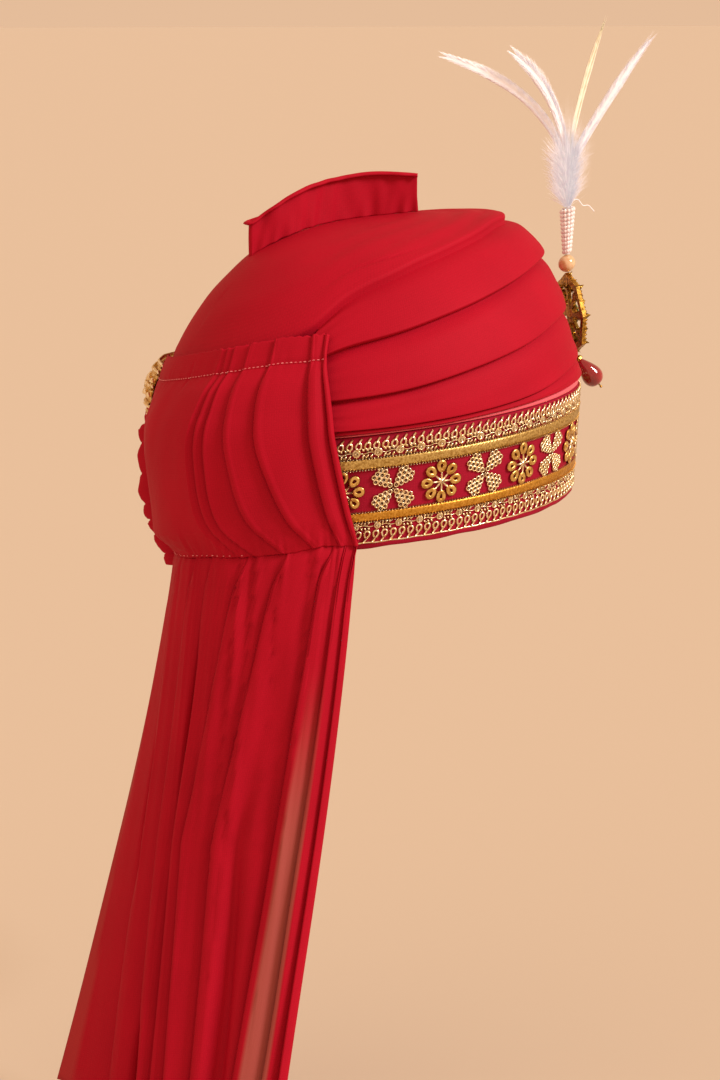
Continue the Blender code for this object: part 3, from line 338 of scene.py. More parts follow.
@dataclass
class Shape:
    """Points in millimetres with quads, triangles, a UV in millimetres and a painted sheer light
    value, which lightens the colour as painted see-through light and a painted hem highlight.
    """

    points: np.ndarray
    quads: np.ndarray
    tris: np.ndarray
    uv: np.ndarray
    painted_sheer_light: np.ndarray | None = None

    @staticmethod
    def grid(points: np.ndarray, rows_closed: bool = False,
             columns_closed: bool = False) -> "Shape":
        """Makes a surface from a grid of points.

        The UV is the distance along the middle row and down the middle column.

        Args:
            points: (rows, columns, 3).
            rows_closed: the last row joins the first.
            columns_closed: the last column joins the first.

        Returns:
            The surface.
        """
        rows, columns = points.shape[:2]
        number = np.arange(rows * columns).reshape(rows, columns)
        down = np.vstack([number, number[:1]]) if rows_closed else number
        full = np.hstack([down, down[:, :1]]) if columns_closed else down
        quads = np.stack([full[:-1, :-1], full[:-1, 1:], full[1:, 1:], full[1:, :-1]], -1)
        u, v = arc_length(points[rows // 2]), arc_length(points[:, columns // 2])
        uv = np.stack(np.meshgrid(u, v), -1).reshape(-1, 2)
        return Shape(points.reshape(-1, 3), quads.reshape(-1, 4), np.zeros((0, 3), int), uv)

    @staticmethod
    def joined(shapes: list["Shape"]) -> "Shape":
        """Puts several shapes together as one."""
        starts = np.cumsum([0] + [len(s.points) for s in shapes[:-1]])
        return Shape(np.vstack([s.points for s in shapes]),
                     np.vstack([s.quads + k for s, k in zip(shapes, starts)]),
                     np.vstack([s.tris + k for s, k in zip(shapes, starts)]),
                     np.vstack([s.uv for s in shapes]))

    def closed_ends(self, rows: int, columns: int) -> "Shape":
        """Closes a tube's two ends with a fan of triangles round a middle point.

        Args:
            rows: stations along the tube.
            columns: points round it.

        Returns:
            The closed shape.
        """
        ring = np.arange(columns)
        after = np.roll(ring, -1)
        count = len(self.points)
        last = (rows - 1) * columns
        middles = np.array([self.points[:columns].mean(0), self.points[last:].mean(0)])
        fans = np.vstack([np.stack([ring, after, np.full(columns, count)], -1)[:, ::-1],
                          np.stack([ring + last, after + last,
                                    np.full(columns, count + 1)], -1)])
        return Shape(np.vstack([self.points, middles]), self.quads[:, ::-1],
                     np.vstack([self.tris, fans]),
                     np.vstack([self.uv, self.uv[:1], self.uv[-1:]]))

    def topped(self, columns: int, apex: tuple[float, float, float]) -> "Shape":
        """Closes the last row round a point with a fan of triangles."""
        count = len(self.points)
        last = np.arange(columns) + count - columns
        fan = np.stack([last, np.roll(last, -1), np.full(columns, count)], -1)
        return Shape(np.vstack([self.points, [apex]]), self.quads, fan,
                     np.vstack([self.uv, self.uv[-1:]]))

    def moved(self, points: np.ndarray) -> "Shape":
        """Gives the same faces other points."""
        return Shape(points, self.quads, self.tris, self.uv, self.painted_sheer_light)

    def shifted(self, by: tuple | np.ndarray) -> "Shape":
        """Moves all points by the same step."""
        return self.moved(self.points + np.array(by))

    def flipped(self) -> "Shape":
        """Turns the faces over."""
        return Shape(self.points, self.quads[:, ::-1], self.tris[:, ::-1], self.uv, self.painted_sheer_light)

    def repeated(self, points: np.ndarray) -> "Shape":
        """Copies the faces for many sets of points.

        Args:
            points: (copies, points of this shape, 3).

        Returns:
            One shape with all copies.
        """
        copies, count = points.shape[:2]
        starts = (np.arange(copies) * count)[:, None, None]
        return Shape(points.reshape(-1, 3), (self.quads[None] + starts).reshape(-1, 4),
                     (self.tris[None] + starts).reshape(-1, 3), np.tile(self.uv, (copies, 1)))

    def copied(self, places: np.ndarray) -> "Shape":
        """Copies the shape to each of some places."""
        return self.repeated(places[:, None] + self.points[None])

    def facing(self, centre: tuple[float, float, float] | np.ndarray) -> "Shape":
        """Turns the faces over if most of them look towards centre."""
        corners = self.points[self.quads]
        normal = np.cross(corners[:, 2] - corners[:, 0], corners[:, 3] - corners[:, 1])
        out = (normal * (corners.mean(1) - np.asarray(centre))).sum()
        return self if out >= 0 else self.flipped()

    def build(self, name: str, finish: Material, slot: Slot,
              stands_for: tuple[str, ...] = (), wall: float = 0.0,
              smooth: bool = True) -> bpy.types.Object:
        """Makes the Blender object, which rides on the part.

        Args:
            name: the object's name.
            finish: its material.
            slot: the part's material slot; not used.
            stands_for: CAD nodes that it replaces.
            wall: cloth thickness in millimetres, put on behind the faces.
            smooth: shade smooth.

        Returns:
            The object.
        """
        mesh = bpy.data.meshes.new(name)
        mesh.from_pydata(place(self.points).tolist(), [],
                         self.quads.tolist() + self.tris.tolist())
        corner = np.zeros(len(mesh.loops), np.int32)
        mesh.loops.foreach_get("vertex_index", corner)
        layer = mesh.uv_layers.new(name="cloth")
        layer.data.foreach_set("uv", (self.uv[corner] * MM).astype(np.float32).ravel())
        if self.painted_sheer_light is not None:
            value = mesh.attributes.new("painted_sheer_light", "FLOAT", "POINT")
            value.data.foreach_set("value", self.painted_sheer_light.astype(np.float32).ravel())
        mesh.update()
        if smooth:
            mesh.shade_smooth()
        mesh.materials.append(finish)
        piece = linked(name, mesh)
        if wall:
            solid = piece.modifiers.new("wall", "SOLIDIFY")
            solid.thickness = wall * MM
            solid.offset = -1.0
        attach(piece, "root")
        if stands_for:
            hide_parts(*stands_for)
        LOG.info("%s: %d points, %d faces", name, len(self.points),
                 len(self.quads) + len(self.tris))
        return piece


def place(points: np.ndarray) -> np.ndarray:
    """Slopes the rim up towards the front and turns millimetres into metres."""
    points = np.array(points, float)
    points[..., 2] -= points[..., 1] * RIM_SLOPE
    return points * MM


def smooth_rows(rows: tuple | np.ndarray, steps: int) -> np.ndarray:
    """Runs a Catmull-Rom curve through the rows of a table.

    Args:
        rows: the table.
        steps: samples a span.

    Returns:
        The finer table.
    """
    rows = np.asarray(rows, float)
    padded = np.vstack([2 * rows[0] - rows[1], rows, 2 * rows[-1] - rows[-2]])
    share = np.linspace(0, 1, steps, endpoint=False)[:, None]
    spans = [0.5 * (2 * b + (c - a) * share + (2 * a - 5 * b + 4 * c - d) * share ** 2
                    + (3 * b - a - 3 * c + d) * share ** 3)
             for a, b, c, d in zip(padded, padded[1:], padded[2:], padded[3:])]
    return np.vstack(spans + [rows[-1:]])


def eased(share: np.ndarray) -> np.ndarray:
    """Smooth step from 0 to 1: 3 s squared less 2 s cubed."""
    share = np.clip(share, 0, 1)
    return share * share * (3 - 2 * share)


def ripples(u: np.ndarray, v: np.ndarray, seed: int, waves: int = 6) -> np.ndarray:
    """Soft random wrinkles: a sum of sine waves with seeded directions, from about -1 to 1.

    Args:
        u: first coordinate, one wrinkle or so a unit.
        v: second coordinate.
        seed: picks the waves.
        waves: how many are added.

    Returns:
        The height at each point.
    """
    pick = np.random.default_rng(seed)
    total = np.zeros(np.broadcast(u, v).shape)
    for _ in range(waves):
        a, b, turn = pick.uniform(0.5, 1.6), pick.uniform(-0.6, 0.6), pick.uniform(0, 6.28)
        total = total + np.sin(2 * np.pi * (a * u + b * v) + turn)
    return total / waves ** 0.5 / 1.4


def lathe(profile: tuple | list, sides: int) -> Shape:
    """Closed turned shape about Z: each (radius, height) row becomes a ring.

    Args:
        profile: rows from the foot up.
        sides: points round it.

    Returns:
        The shape.
    """
    turn = np.linspace(0, 2 * np.pi, sides, endpoint=False)
    radius, height = np.array(profile, float).T
    points = np.stack([radius[:, None] * np.cos(turn), radius[:, None] * np.sin(turn),
                       np.broadcast_to(height[:, None], (len(height), sides))], -1)
    shape = Shape.grid(points, columns_closed=True).closed_ends(len(height), sides)
    return shape.facing((0, 0, float(height.mean())))


def bead(radius: float, sides: int = 6, rings: int = 3, flat: float = 1.0) -> Shape:
    """Round bead, flattened along Z by flat."""
    reach = 1.5 if rings > 6 else 1.2
    profile = [(radius * math.cos(t), radius * flat * math.sin(t))
               for t in np.linspace(-reach, reach, rings)]
    shape = lathe(profile, sides)
    shape.points[-2:] = ((0, 0, -radius * flat), (0, 0, radius * flat))
    return shape


def tube(path: np.ndarray, radius: np.ndarray | float, sides: int = 6,
         closed: bool = False, flat: float = 1.0) -> Shape:
    """Round tube along a path, each ring square to the path's direction.

    Args:
        path: (stations, 3).
        radius: at each station.
        sides: points round it.
        closed: the path is a loop.
        flat: thickness along the third axis, as a share of the width.

    Returns:
        The tube.
    """
    path = np.asarray(path, float)
    along = unit(np.roll(path, -1, 0) - np.roll(path, 1, 0) if closed
                 else np.gradient(path, axis=0))
    side = np.cross(along, (0.0, 0.0, 1.0))
    steep = np.linalg.norm(side, axis=1) < 0.2
    side[steep] = np.cross(along[steep], (1.0, 0.0, 0.0))
    side = unit(side)
    over = np.cross(side, along)
    turn = np.linspace(0, 2 * np.pi, sides, endpoint=False)
    reach = np.broadcast_to(np.asarray(radius, float), (len(path),))[:, None, None]
    points = path[:, None] + reach * (np.cos(turn)[None, :, None] * side[:, None]
                                      + flat * np.sin(turn)[None, :, None] * over[:, None])
    shape = Shape.grid(points, rows_closed=closed, columns_closed=True)
    return shape.flipped() if closed else shape.closed_ends(len(path), sides)


def wire_ring(radius: float, wire: float, stretch: float = 1.0, around: int = 9,
              sides: int = 4, flat: float = 1.0) -> Shape:
    """Ring of wire lying in the XY plane, stretched along Y towards a teardrop.

    The path is x = r sin t (1 - 0.7 (stretch - 1) cos t), y = r stretch cos t.
    """
    turn = np.linspace(0, 2 * np.pi, around, endpoint=False)
    path = np.stack([radius * np.sin(turn) * (1 - 0.7 * (stretch - 1) * np.cos(turn)),
                     radius * stretch * np.cos(turn), np.zeros(around)], -1)
    return tube(path, wire, sides, closed=True, flat=flat)


def leaf(length: float, width: float, thick: float) -> Shape:
    """Pointed leaf from the origin along Y, ridged down its middle and closed below."""
    points = np.array([(0, 0, 0), (width / 2, length * 0.4, 0.1), (0, length, 0),
                       (-width / 2, length * 0.4, 0.1), (0, length * 0.45, thick),
                       (0, length * 0.45, -thick * 0.3)])
    tris = np.array([(0, 1, 4), (1, 2, 4), (2, 3, 4), (3, 0, 4),
                     (1, 0, 5), (2, 1, 5), (3, 2, 5), (0, 3, 5)])
    return Shape(points, np.zeros((0, 4), int), tris, points[:, :2].copy())


def turned(shape: Shape, degrees: float, shift: tuple[float, float, float] = (0, 0, 0)) -> Shape:
    """Turns a shape about Z and then shifts it."""
    turn = math.radians(degrees)
    spin = np.array([[math.cos(turn), -math.sin(turn), 0],
                     [math.sin(turn), math.cos(turn), 0], [0, 0, 1]])
    return shape.moved(shape.points @ spin.T + np.array(shift))


@dataclass(frozen=True)
class HeadForm:
    """Outer surface of the turban: a meridian table carried round an egg-shaped plan."""

    front_back: float = 112.0
    side: float = 94.5
    height: float = 153.0
    tape_level: float = 58.6
    tape_rise: float = 3.1           # of the tape's upper edge, towards the front
    sections: tuple = (
        # share of the height, front, back, side
        (0.000, 1.000, 1.000, 1.000), (0.185, 1.014, 1.008, 1.020),
        (0.375, 1.027, 1.016, 1.037), (0.460, 0.985, 0.985, 1.030),
        (0.550, 0.950, 0.942, 1.012), (0.635, 0.922, 0.884, 0.966),
        (0.725, 0.886, 0.812, 0.894), (0.810, 0.840, 0.725, 0.798),
        (0.890, 0.772, 0.610, 0.670), (0.942, 0.695, 0.495, 0.530),
        (0.975, 0.570, 0.370, 0.390), (0.993, 0.360, 0.225, 0.235),
        (1.000, 0.001, 0.001, 0.001),
    )
    edge_angles: tuple = (0, 20, 40, 60, 80, 100, 118, 132, 155, 180)
    # share of the height at each of edge_angles, for the lower edge of the cap and wraps
    edges: tuple = (
        ("cap", (0.952, 0.951, 0.950, 0.930, 0.900, 0.858, 0.802, 0.697, 0.600, 0.540)),
        ("wrap_1", (0.828, 0.822, 0.808, 0.775, 0.733, 0.690, 0.655, 0.600, 0.540, 0.500)),
        ("wrap_2", (0.638, 0.634, 0.622, 0.582, 0.545, 0.510, 0.497, 0.490, 0.460, 0.440)),
        ("wrap_3", (0.478, 0.470, 0.452, 0.420, 0.404, 0.398, 0.398, 0.398, 0.398, 0.398)),
    )

    def meridian(self) -> np.ndarray:
        """Smooth table of the sections."""
        table = smooth_rows(self.sections, 12)
        table[:, 0] = np.maximum.accumulate(table[:, 0])
        return table

    def raw(self, angle: np.ndarray, height: np.ndarray) -> np.ndarray:
        """Point of the surface: half lengths from the meridian, turned by the angle."""
        share = height / self.height
        front, back, side = (np.interp(np.maximum(share, 0.0), MERIDIAN[:, 0], MERIDIAN[:, k])
                             for k in (1, 2, 3))
        turn = np.radians(angle)
        length = self.front_back * np.where(np.cos(turn) > 0, front, back)
        return np.stack([-self.side * side * np.sin(turn), -length * np.cos(turn),
                         share * self.height], -1)

    def point(self, angle: np.ndarray | float, height: np.ndarray | float,
              off: np.ndarray | float = 0.0) -> np.ndarray:
        """Point of the surface moved off along its outward normal.

        Args:
            angle: degrees from the front.
            height: above the rim.
            off: distance off the surface.

        Returns:
            The points, (..., 3).
        """
        angle, height, off = np.broadcast_arrays(np.asarray(angle, float),
                                                 np.asarray(height, float),
                                                 np.asarray(off, float))
        low = np.minimum(height - 0.8, self.height * 0.996)
        high = np.minimum(height + 0.8, self.height * 0.999)
        along = self.raw(angle + 0.5, low) - self.raw(angle - 0.5, low)
        normal = unit(np.cross(self.raw(angle, high) - self.raw(angle, low), along))
        return self.raw(angle, height) + normal * off[..., None]

    def edge(self, name: str, angle: np.ndarray) -> np.ndarray:
        """Height of the lower edge of the cap or of a wrap."""
        table = np.array(dict(self.edges)[name])
        fine = smooth_rows(np.column_stack([self.edge_angles, table]), 6)
        return self.height * np.interp(np.abs(angle), fine[:, 0], fine[:, 1])

    def tape_top(self, angle: np.ndarray) -> np.ndarray:
        """Height of the upper edge of the satin tape."""
        return self.tape_level + self.tape_rise * np.maximum(np.cos(np.radians(angle)), 0.0)

    def up_meridian(self, start: np.ndarray, share: np.ndarray) -> np.ndarray:
        """Height at a share of the arc length from start to the top."""
        length = np.concatenate([[0.0], np.cumsum(np.hypot(
            np.diff(MERIDIAN[:, 0]) * self.height, np.diff(MERIDIAN[:, 3]) * self.side))])
        low = np.interp(start / self.height, MERIDIAN[:, 0], length)
        return self.height * np.interp(low + (length[-1] - low) * share, length, MERIDIAN[:, 0])


FORM = HeadForm()
MERIDIAN = FORM.meridian()


@dataclass
class WrappedCrown:
    """The cap, its inner face, and the four wraps of georgette."""

    columns: int = 300
    under: float = 5.0
    wall: float = 2.6
    swell: float = 1.9
    tucked_swell: float = 0.2
    wraps_from: float = -151.0
    wraps_to: float = 127.0
    # share of the way up the cap, off the surface
    rolled_edge: tuple = ((0, -1.2), (0.010, 0.4), (0.022, 1.4), (0.045, 1.9), (0.10, 1.75),
                          (0.22, 1.1), (0.46, 0.3), (0.70, 0.0))
    bare_rows: int = 16              # rows of a wrap's rolled edge, which no drape moves
    inner_columns: int = 120
    middle: tuple[float, float, float] = (0, 0, 60)
    # length and width of each wrap's strip, in metres
    cuts: tuple = ((0.44, 0.056), (0.49, 0.058), (0.52, 0.047), (0.52, 0.0145))

    def cap(self, cloth: Material) -> None:
        """Pulled cap over the crown: profile up the meridian, with faint tension folds."""
        angle = np.linspace(-180, 180, self.columns, endpoint=False)
        edge = FORM.edge("cap", angle)
        share = np.concatenate([np.linspace(0.0, 0.1, 12), np.linspace(0.12, 0.985, 60)])
        off = np.interp(share, *zip(*self.rolled_edge))
        height = FORM.up_meridian(edge[None], share[:, None])
        fade = eased(share[:, None] / 0.06) * eased((0.93 - share[:, None]) / 0.3)
        drape = 0.30 * ripples(share[:, None] * 3.2 + angle[None] / 170, angle[None] / 190, 5)
        crease = -0.9 * np.exp(-((share[:, None] - 0.11 - 0.0022 * (angle[None] - 80)) / 0.010)
                               ** 2) * np.exp(-((angle[None] - 106) / 17) ** 2)
        rows = [FORM.point(angle, level, -self.under) for level in (0.9, 50.0, edge * 0.97)]
        outer = FORM.point(angle[None], height, off[:, None] + (drape + crease) * fade)
        apex = np.array([0, 0, FORM.height])
        top = apex + 0.2 * (outer[-1:] - apex) * (1, 1, 0)
        surface = Shape.grid(np.vstack([np.array(rows), outer, top]), columns_closed=True)
        surface = surface.topped(self.columns, (0, 0, FORM.height)).facing(self.middle)
        piece = surface.build("crown_cloth", cloth, Slot.CLOTH, ("crown",), wall=self.wall)

    def wraps(self, cloth: Material) -> None:
        """Four folded wraps: each is a strip whose lower edge rolls round over the next."""
        names = [name for name, _ in FORM.edges] + ["wrap_4"]
        angle = np.linspace(self.wraps_from, self.wraps_to, 260)
        fine = smooth_rows((
            # share of the way up, off the surface as a share of the swell, sink
            (0.97, 0.0, -4.4), (0.60, 0.0, -4.4), (0.20, 0.0, -4.0), (0.04, 0.0, -2.9),
            (0.002, 0.0, -1.2), (-0.004, 0.45, -0.5), (0.004, 0.85, -0.05),
            (0.022, 1.05, 0.0), (0.07, 1.08, 0.0), (0.22, 0.98, 0.0), (0.45, 0.75, 0.0),
            (0.72, 0.40, -0.25), (0.88, 0.0, -0.9), (0.97, 0.0, -1.9), (1.05, 0.0, -2.4),
        ), 4)
        for number, (above, name) in enumerate(zip(names, names[1:])):
            high = FORM.edge(above, angle)
            low = FORM.tape_top(angle) + 0.2 if name == "wrap_4" else FORM.edge(name, angle)
            swell = self.tucked_swell if name == "wrap_4" else self.swell
            share = fine[:, :1]
            height = low + share * (high - low)
            drape = 0.35 * ripples(share * 1.1 + angle / 95, angle / 120, 20 + number, 5)
            drape = drape * eased(share / 0.3) * eased((1.0 - share) / 0.3)
            drape = drape * (np.arange(len(fine))[:, None] > self.bare_rows)
            pinch = -0.5 * np.exp(-((angle - 126) / 9) ** 2) * np.sin(share * 22)
            off = fine[:, 1:2] * swell + fine[:, 2:3] + drape + pinch * eased(share / 0.2)
            surface = Shape.grid(FORM.point(angle, height, off)).facing((0, 0, 40))
            piece = surface.build(f"{name}_cloth", cloth, Slot.CLOTH, (name,))

    def inner_face(self, cloth: Material) -> None:
        """Inner face of the head opening, from the rim up over the crown."""
        angle = np.linspace(-180, 180, self.inner_columns, endpoint=False)
        edge = FORM.edge("cap", angle)
        depth = -self.under - self.wall - 0.15
        rows = [FORM.point(angle, h, depth) for h in (1.2, 20, 40, 60)]
        rows += [FORM.point(angle, 60 + (edge - 62) * s, depth) for s in (0.5, 0.9)]
        share = np.linspace(0.06, 0.97, 18)[:, None]
        rows += list(FORM.point(angle[None], FORM.up_meridian(edge[None], share),
                                -self.wall - 0.15 - 1.2 * (1 - share)))
        shape = Shape.grid(np.array(rows), columns_closed=True)
        shape = shape.topped(self.inner_columns, (0, 0, FORM.height - self.wall - 0.5))
        shape = shape.facing(self.middle).flipped()
        piece = shape.build("crown_inner_face", cloth, Slot.CLOTH)


@dataclass
class RimBand:
    """Embroidered silk band: ground, tape, braids, loops, vines, flowers and crosses."""

    height: float = 57.0
    wall: float = 2.6
    face: float = -2.05
    motifs: int = 26
    motif_level: float = 0.515       # share of the height
    petals: int = 8
    # a cross's arm: reach from the middle, and how far aside its rings lie
    arm_rows: tuple = ((2.3, (0.0,)), (4.4, (-1.3, 1.3)), (6.7, (-2.3, 0.0, 2.3)),
                       (9.0, (-3.4, -1.15, 1.15, 3.4)), (11.2, (-2.3, 0.0, 2.3)))
    tape_foot: float = 57.2
    loop_pitch: float = 4.45
    loop_levels: tuple[float, float] = (52.3, 7.0)
    couched_level: float = 2.9
    vine_pitch: float = 10.75
    # level, size, direction along the band
    vine_rows: tuple = ((48.6, 1.0, 1), (11.4, 0.86, -1))
    bead_pitch: float = 1.5
    out: float = 0.35                # how far motifs lie off the band's face
    # name, lower and upper edge as shares of the height
    braids: tuple = (("gold_braid_upper", 0.712, 0.795), ("gold_braid_lower", 0.246, 0.318))

    def __post_init__(self) -> None:
        """Measures the ring's length, so that patterns are evenly spaced."""
        self.turn = np.linspace(0, 360, 1441)
        self.arc = arc_length(FORM.point(self.turn, self.motif_level * self.height,
                                         self.face + self.out))

    def at(self, across: np.ndarray, up: np.ndarray, out: np.ndarray) -> np.ndarray:
        """Maps distances along the ring, above the rim and off the band onto the head form."""
        angle = np.interp(np.mod(across, self.arc[-1]), self.arc, self.turn)
        return FORM.point(angle, up, self.face + out)

    def laid(self, pattern: Shape, across: np.ndarray, up: np.ndarray | float,
             out: float = 0.0) -> Shape:
        """Lays copies of a flat pattern (across, up, out) round the band.

        Args:
            pattern: the shape of one copy.
            across: where along the ring each copy goes.
            up: its height above the rim.
            out: its distance off the band's face.

        Returns:
            All copies as one shape.
        """
        across = np.asarray(across, float)[:, None]
        up = np.broadcast_to(np.asarray(up, float), across[:, 0].shape)[:, None]
        p = pattern.points[None]
        # the way round mirrors the pattern, so its faces are turned over
        points = self.at(across + p[..., 0], up + p[..., 1], out + p[..., 2])
        return pattern.repeated(points).flipped()

    def spaced(self, pitch: float) -> np.ndarray:
        """Evenly spaced places round the band, about a pitch apart."""
        count = round(self.arc[-1] / pitch)
        return np.arange(count) * self.arc[-1] / count

    def strip(self, outline: tuple, columns: int = 720, ripple: float = 0.0) -> Shape:
        """Closed profile (height, off) carried round the band, rippled at its lowest edge."""
        angle = np.linspace(0, 360, columns, endpoint=False)
        up, off = np.array(outline, float).T
        low = eased((6.0 - up[:, None]) / 6.0) * ripple
        wave = ripples(angle[None] / 11.0, np.zeros_like(angle)[None], 3, 5)
        points = FORM.point(angle[None], up[:, None] + 0.5 * low * wave,
                            off[:, None] + low * wave * 0.6)
        return Shape.grid(points, rows_closed=True, columns_closed=True)

    def ground(self, silk: Material, satin: Material) -> None:
        """Silk ground with a rounded, slightly rippled hem, and the satin tape above it."""
        back, face = self.face - self.wall, self.face
        # height, off the head form
        outline = ((0.5, back), (0.0, back + 0.5), (-0.2, face - 0.9), (0.4, face - 0.1),
                   (1.6, face + 0.15), (3.2, face), (4.0, face), (20, face), (38, face),
                   (55.5, face), (56.7, face - 0.5), (56.9, back + 0.4), (56.0, back), (30, back))
        piece = self.strip(outline, ripple=0.8).facing((0, 0, 28))
        made = piece.build("band_silk_ground", silk, Slot.BAND, ("band",))
        angle = np.linspace(-180, 180, 600, endpoint=False)
        top = FORM.tape_top(angle) - 0.35
        rows = []
        for share, off in ((0.0, back), (0.0, face - 0.5), (0.10, face - 0.1),
                           (0.45, face + 0.1), (0.8, face - 0.2), (1.0, face - 0.9),
                           (1.0, back)):
            wobble = 0.16 * ripples(angle / 9.0, angle * 0, 8, 5) * (0.2 < share < 0.9)
            rows.append(FORM.point(angle, self.tape_foot + share * (top - self.tape_foot),
                                   off + wobble))
        tape = Shape.grid(np.array(rows), rows_closed=True, columns_closed=True)
        edging = tape.facing((0, 0, 58)).build("satin_tape", satin, Slot.TAPE,
                                               ("band_top_tape",))

    def braid(self, zari: dict[str, Material], purl: Material) -> None:
        """Two flat zari braids with ribbed faces, and a beaded chain along each edge."""
        chains = []
        for name, low, high in self.braids:
            low, high = low * self.height, high * self.height
            across = np.linspace(0, self.arc[-1], 900, endpoint=False)
            share = np.linspace(0, 1, 9)
            crown = 0.45 + 0.55 * np.sin(np.pi * share) ** 0.5
            rib = 0.10 * np.sin(2 * np.pi * (across[None] / 2.2 + np.abs(share[:, None] - 0.5)
                                             * 2.2))
            up = low + share[:, None] * (high - low)
            face = self.at(across[None], up, 0.35 + 0.75 * crown[:, None] + rib)
            under = self.at(across[None], np.array([[high], [low]]), np.full((2, 1), 0.05))
            shape = Shape.grid(np.vstack([face, under]), rows_closed=True, columns_closed=True)
            shape.facing((0, 0, 30)).build(f"{name}_zari", zari[name], Slot.THREAD, (name,))
            places = np.arange(0, self.arc[-1] - self.bead_pitch / 2, self.bead_pitch)
            for up_at in (low - 0.5, high + 0.5):
                chains.append(self.laid(bead(0.74, 6, 3), places, up_at, 0.7))
        Shape.joined(chains).build("braid_chain_edges", purl, Slot.THREAD)

    def loops(self, purl: Material) -> None:
        """Row of slanting wire loops above, an inverted row below, and a couched line."""
        loop = Shape.joined([turned(wire_ring(1.3, 0.6, 1.4, 10, 5), 12),
                             tube(np.array([(-0.1, 1.4, 0.3), (-0.8, 2.6, 0.35),
                                            (-1.6, 3.7, 0.2)]), 0.58, 5)])
        places = self.spaced(self.loop_pitch)
        rows = [self.laid(turned(loop, turn), places, level, 0.45)
                for level, turn in zip(self.loop_levels, (0, 180))]
        across = np.linspace(0, self.arc[-1], 900, endpoint=False)
        turn = np.linspace(0, 2 * np.pi, 5, endpoint=False)
        ring = self.at(across[:, None], self.couched_level + 0.42 * np.cos(turn)[None]
                       + 0.12 * np.sin(across / 2.1)[:, None], 0.3 + 0.42 * np.sin(turn)[None])
        line = Shape.grid(ring, rows_closed=True, columns_closed=True)
        rows.append(line.facing((0, 0, self.couched_level)))
        Shape.joined(rows).build("ring_loops", purl, Slot.THREAD)

    def vines(self, purl: Material, crystal: Material) -> None:
        """Leafy rows: ring-set round stones, with arrow-like leaf pairs between them."""
        places = self.spaced(self.vine_pitch)
        gold, stones = [], []
        for up, size, way in self.vine_rows:
            parts = [wire_ring(1.75 * size, 0.48 * size, 1.0, 10, 5)]
            for shift in (3.3, 5.4, 7.5):
                for tilt in (-52, 52):
                    x = shift * size * way
                    parts.append(turned(leaf(3.7 * size, 1.8 * size, 0.9), tilt * way
                                        - 90 * way, (x - 1.0 * way, 0.25 * np.sign(tilt), 0)))
            stem = np.stack([np.linspace(2.0, 8.9, 7), 0.4 * np.sin(np.linspace(0, 6.28, 7)),
                             np.full(7, 0.15)], -1) * (way, 1, 1)
            parts.append(tube(stem, 0.32, 4))
            for x, y in ((4.4, 1.9), (6.4, -1.9), (5.4, 0.0)):
                stones.append(self.laid(bead(0.62, 6, 3), places + x * way, up + y * size, 0.5))
            gold.append(self.laid(Shape.joined(parts), places, up, self.out))
            dome = lathe(((1.45 * size, 0), (1.35 * size, 0.7), (0.8 * size, 1.15)), 8)
            stones.append(self.laid(dome, places, up, 0.05))
        Shape.joined(gold).build("vine_rows", purl, Slot.THREAD)
        Shape.joined(stones).build("vine_stones", crystal, Slot.THREAD)

    def flowers(self, foil: Material, purl: Material) -> None:
        """Eight-petalled sequin flowers and X-shaped clusters of sequin rings, turn about."""
        places = (np.arange(self.motifs) + 0.5) * self.arc[-1] / self.motifs
        middle = self.motif_level * self.height
        petal = wire_ring(1.62, 1.22, 1.36, 12, 6, flat=0.5)
        petal = petal.moved(petal.points * (1, -1, 1) + np.array((0, 7.6, 0.75))).flipped()
        stem = tube(((0, 0.2, 0.95), (0, 2.6, 0.95), (0, 4.9, 0.8)), (0.48, 0.6, 0.42), 5)
        turns = np.arange(self.petals) * 360 / self.petals
        petals = [turned(petal, turn) for turn in turns] + [bead(1.5, 8, 3, 0.8)]
        stems = [turned(stem, turn) for turn in turns]
        flower, rays = (Shape.joined(s) for s in (petals, stems))
        flower_places, cross_places = places[::2], places[1::2]
        self.laid(flower, flower_places, middle, self.out).build(
            "sequin_flowers", foil, Slot.THREAD, self.numbered("flower"))
        rings, beads = [], []
        ring, dot = wire_ring(1.12, 0.46, 1.0, 8, 4), bead(0.55, 5, 3)
        for turn in (45, 135, 225, 315):
            for reach, sides in self.arm_rows:
                for side in sides:
                    rings.append(turned(ring.shifted((side, reach, 0.45)), turn))
                    beads.append(turned(dot.shifted((side, reach, 0.3)), turn))
        beads.append(bead(1.1, 8, 3))
        self.laid(Shape.joined(rings), cross_places, middle, self.out).build(
            "sequin_crosses", purl, Slot.THREAD, self.numbered("cross"))
        hearts = [self.laid(Shape.joined(beads), cross_places, middle, self.out),
                  self.laid(rays, flower_places, middle, self.out)]
        Shape.joined(hearts).build("motif_beads", purl, Slot.THREAD)

    def numbered(self, kind: str) -> tuple[str, ...]:
        """Names of the CAD nodes of one kind of motif."""
        return tuple(f"{kind}_{k:02d}" for k in range(1, self.motifs // 2 + 1))


# Section of a knife pleat, from its crest to the next. across: share of the pleat's width.
# over: how far the folded edge hangs over the next pleat, as a share of the overhang.
# depth: share of the pleat's depth
KNIFE_PLEAT = np.array([
    # across, over, depth
    (0.000, 0.00, 1.00), (0.012, 0.40, 1.03), (0.024, 0.78, 0.98), (0.034, 0.98, 0.86),
    (0.042, 0.90, 0.72), (0.050, 0.55, 0.58), (0.058, 0.10, 0.42), (0.066, -0.12, 0.24),
    (0.078, 0.05, 0.08), (0.100, 0.30, 0.00), (0.150, 0.30, 0.05), (0.220, 0.15, 0.18),
    (0.300, 0.00, 0.30), (0.400, 0.00, 0.42), (0.500, 0.00, 0.53), (0.600, 0.00, 0.63),
    (0.700, 0.00, 0.73), (0.790, 0.00, 0.81), (0.860, 0.00, 0.88), (0.920, 0.00, 0.94),
    (0.965, 0.00, 0.98)])


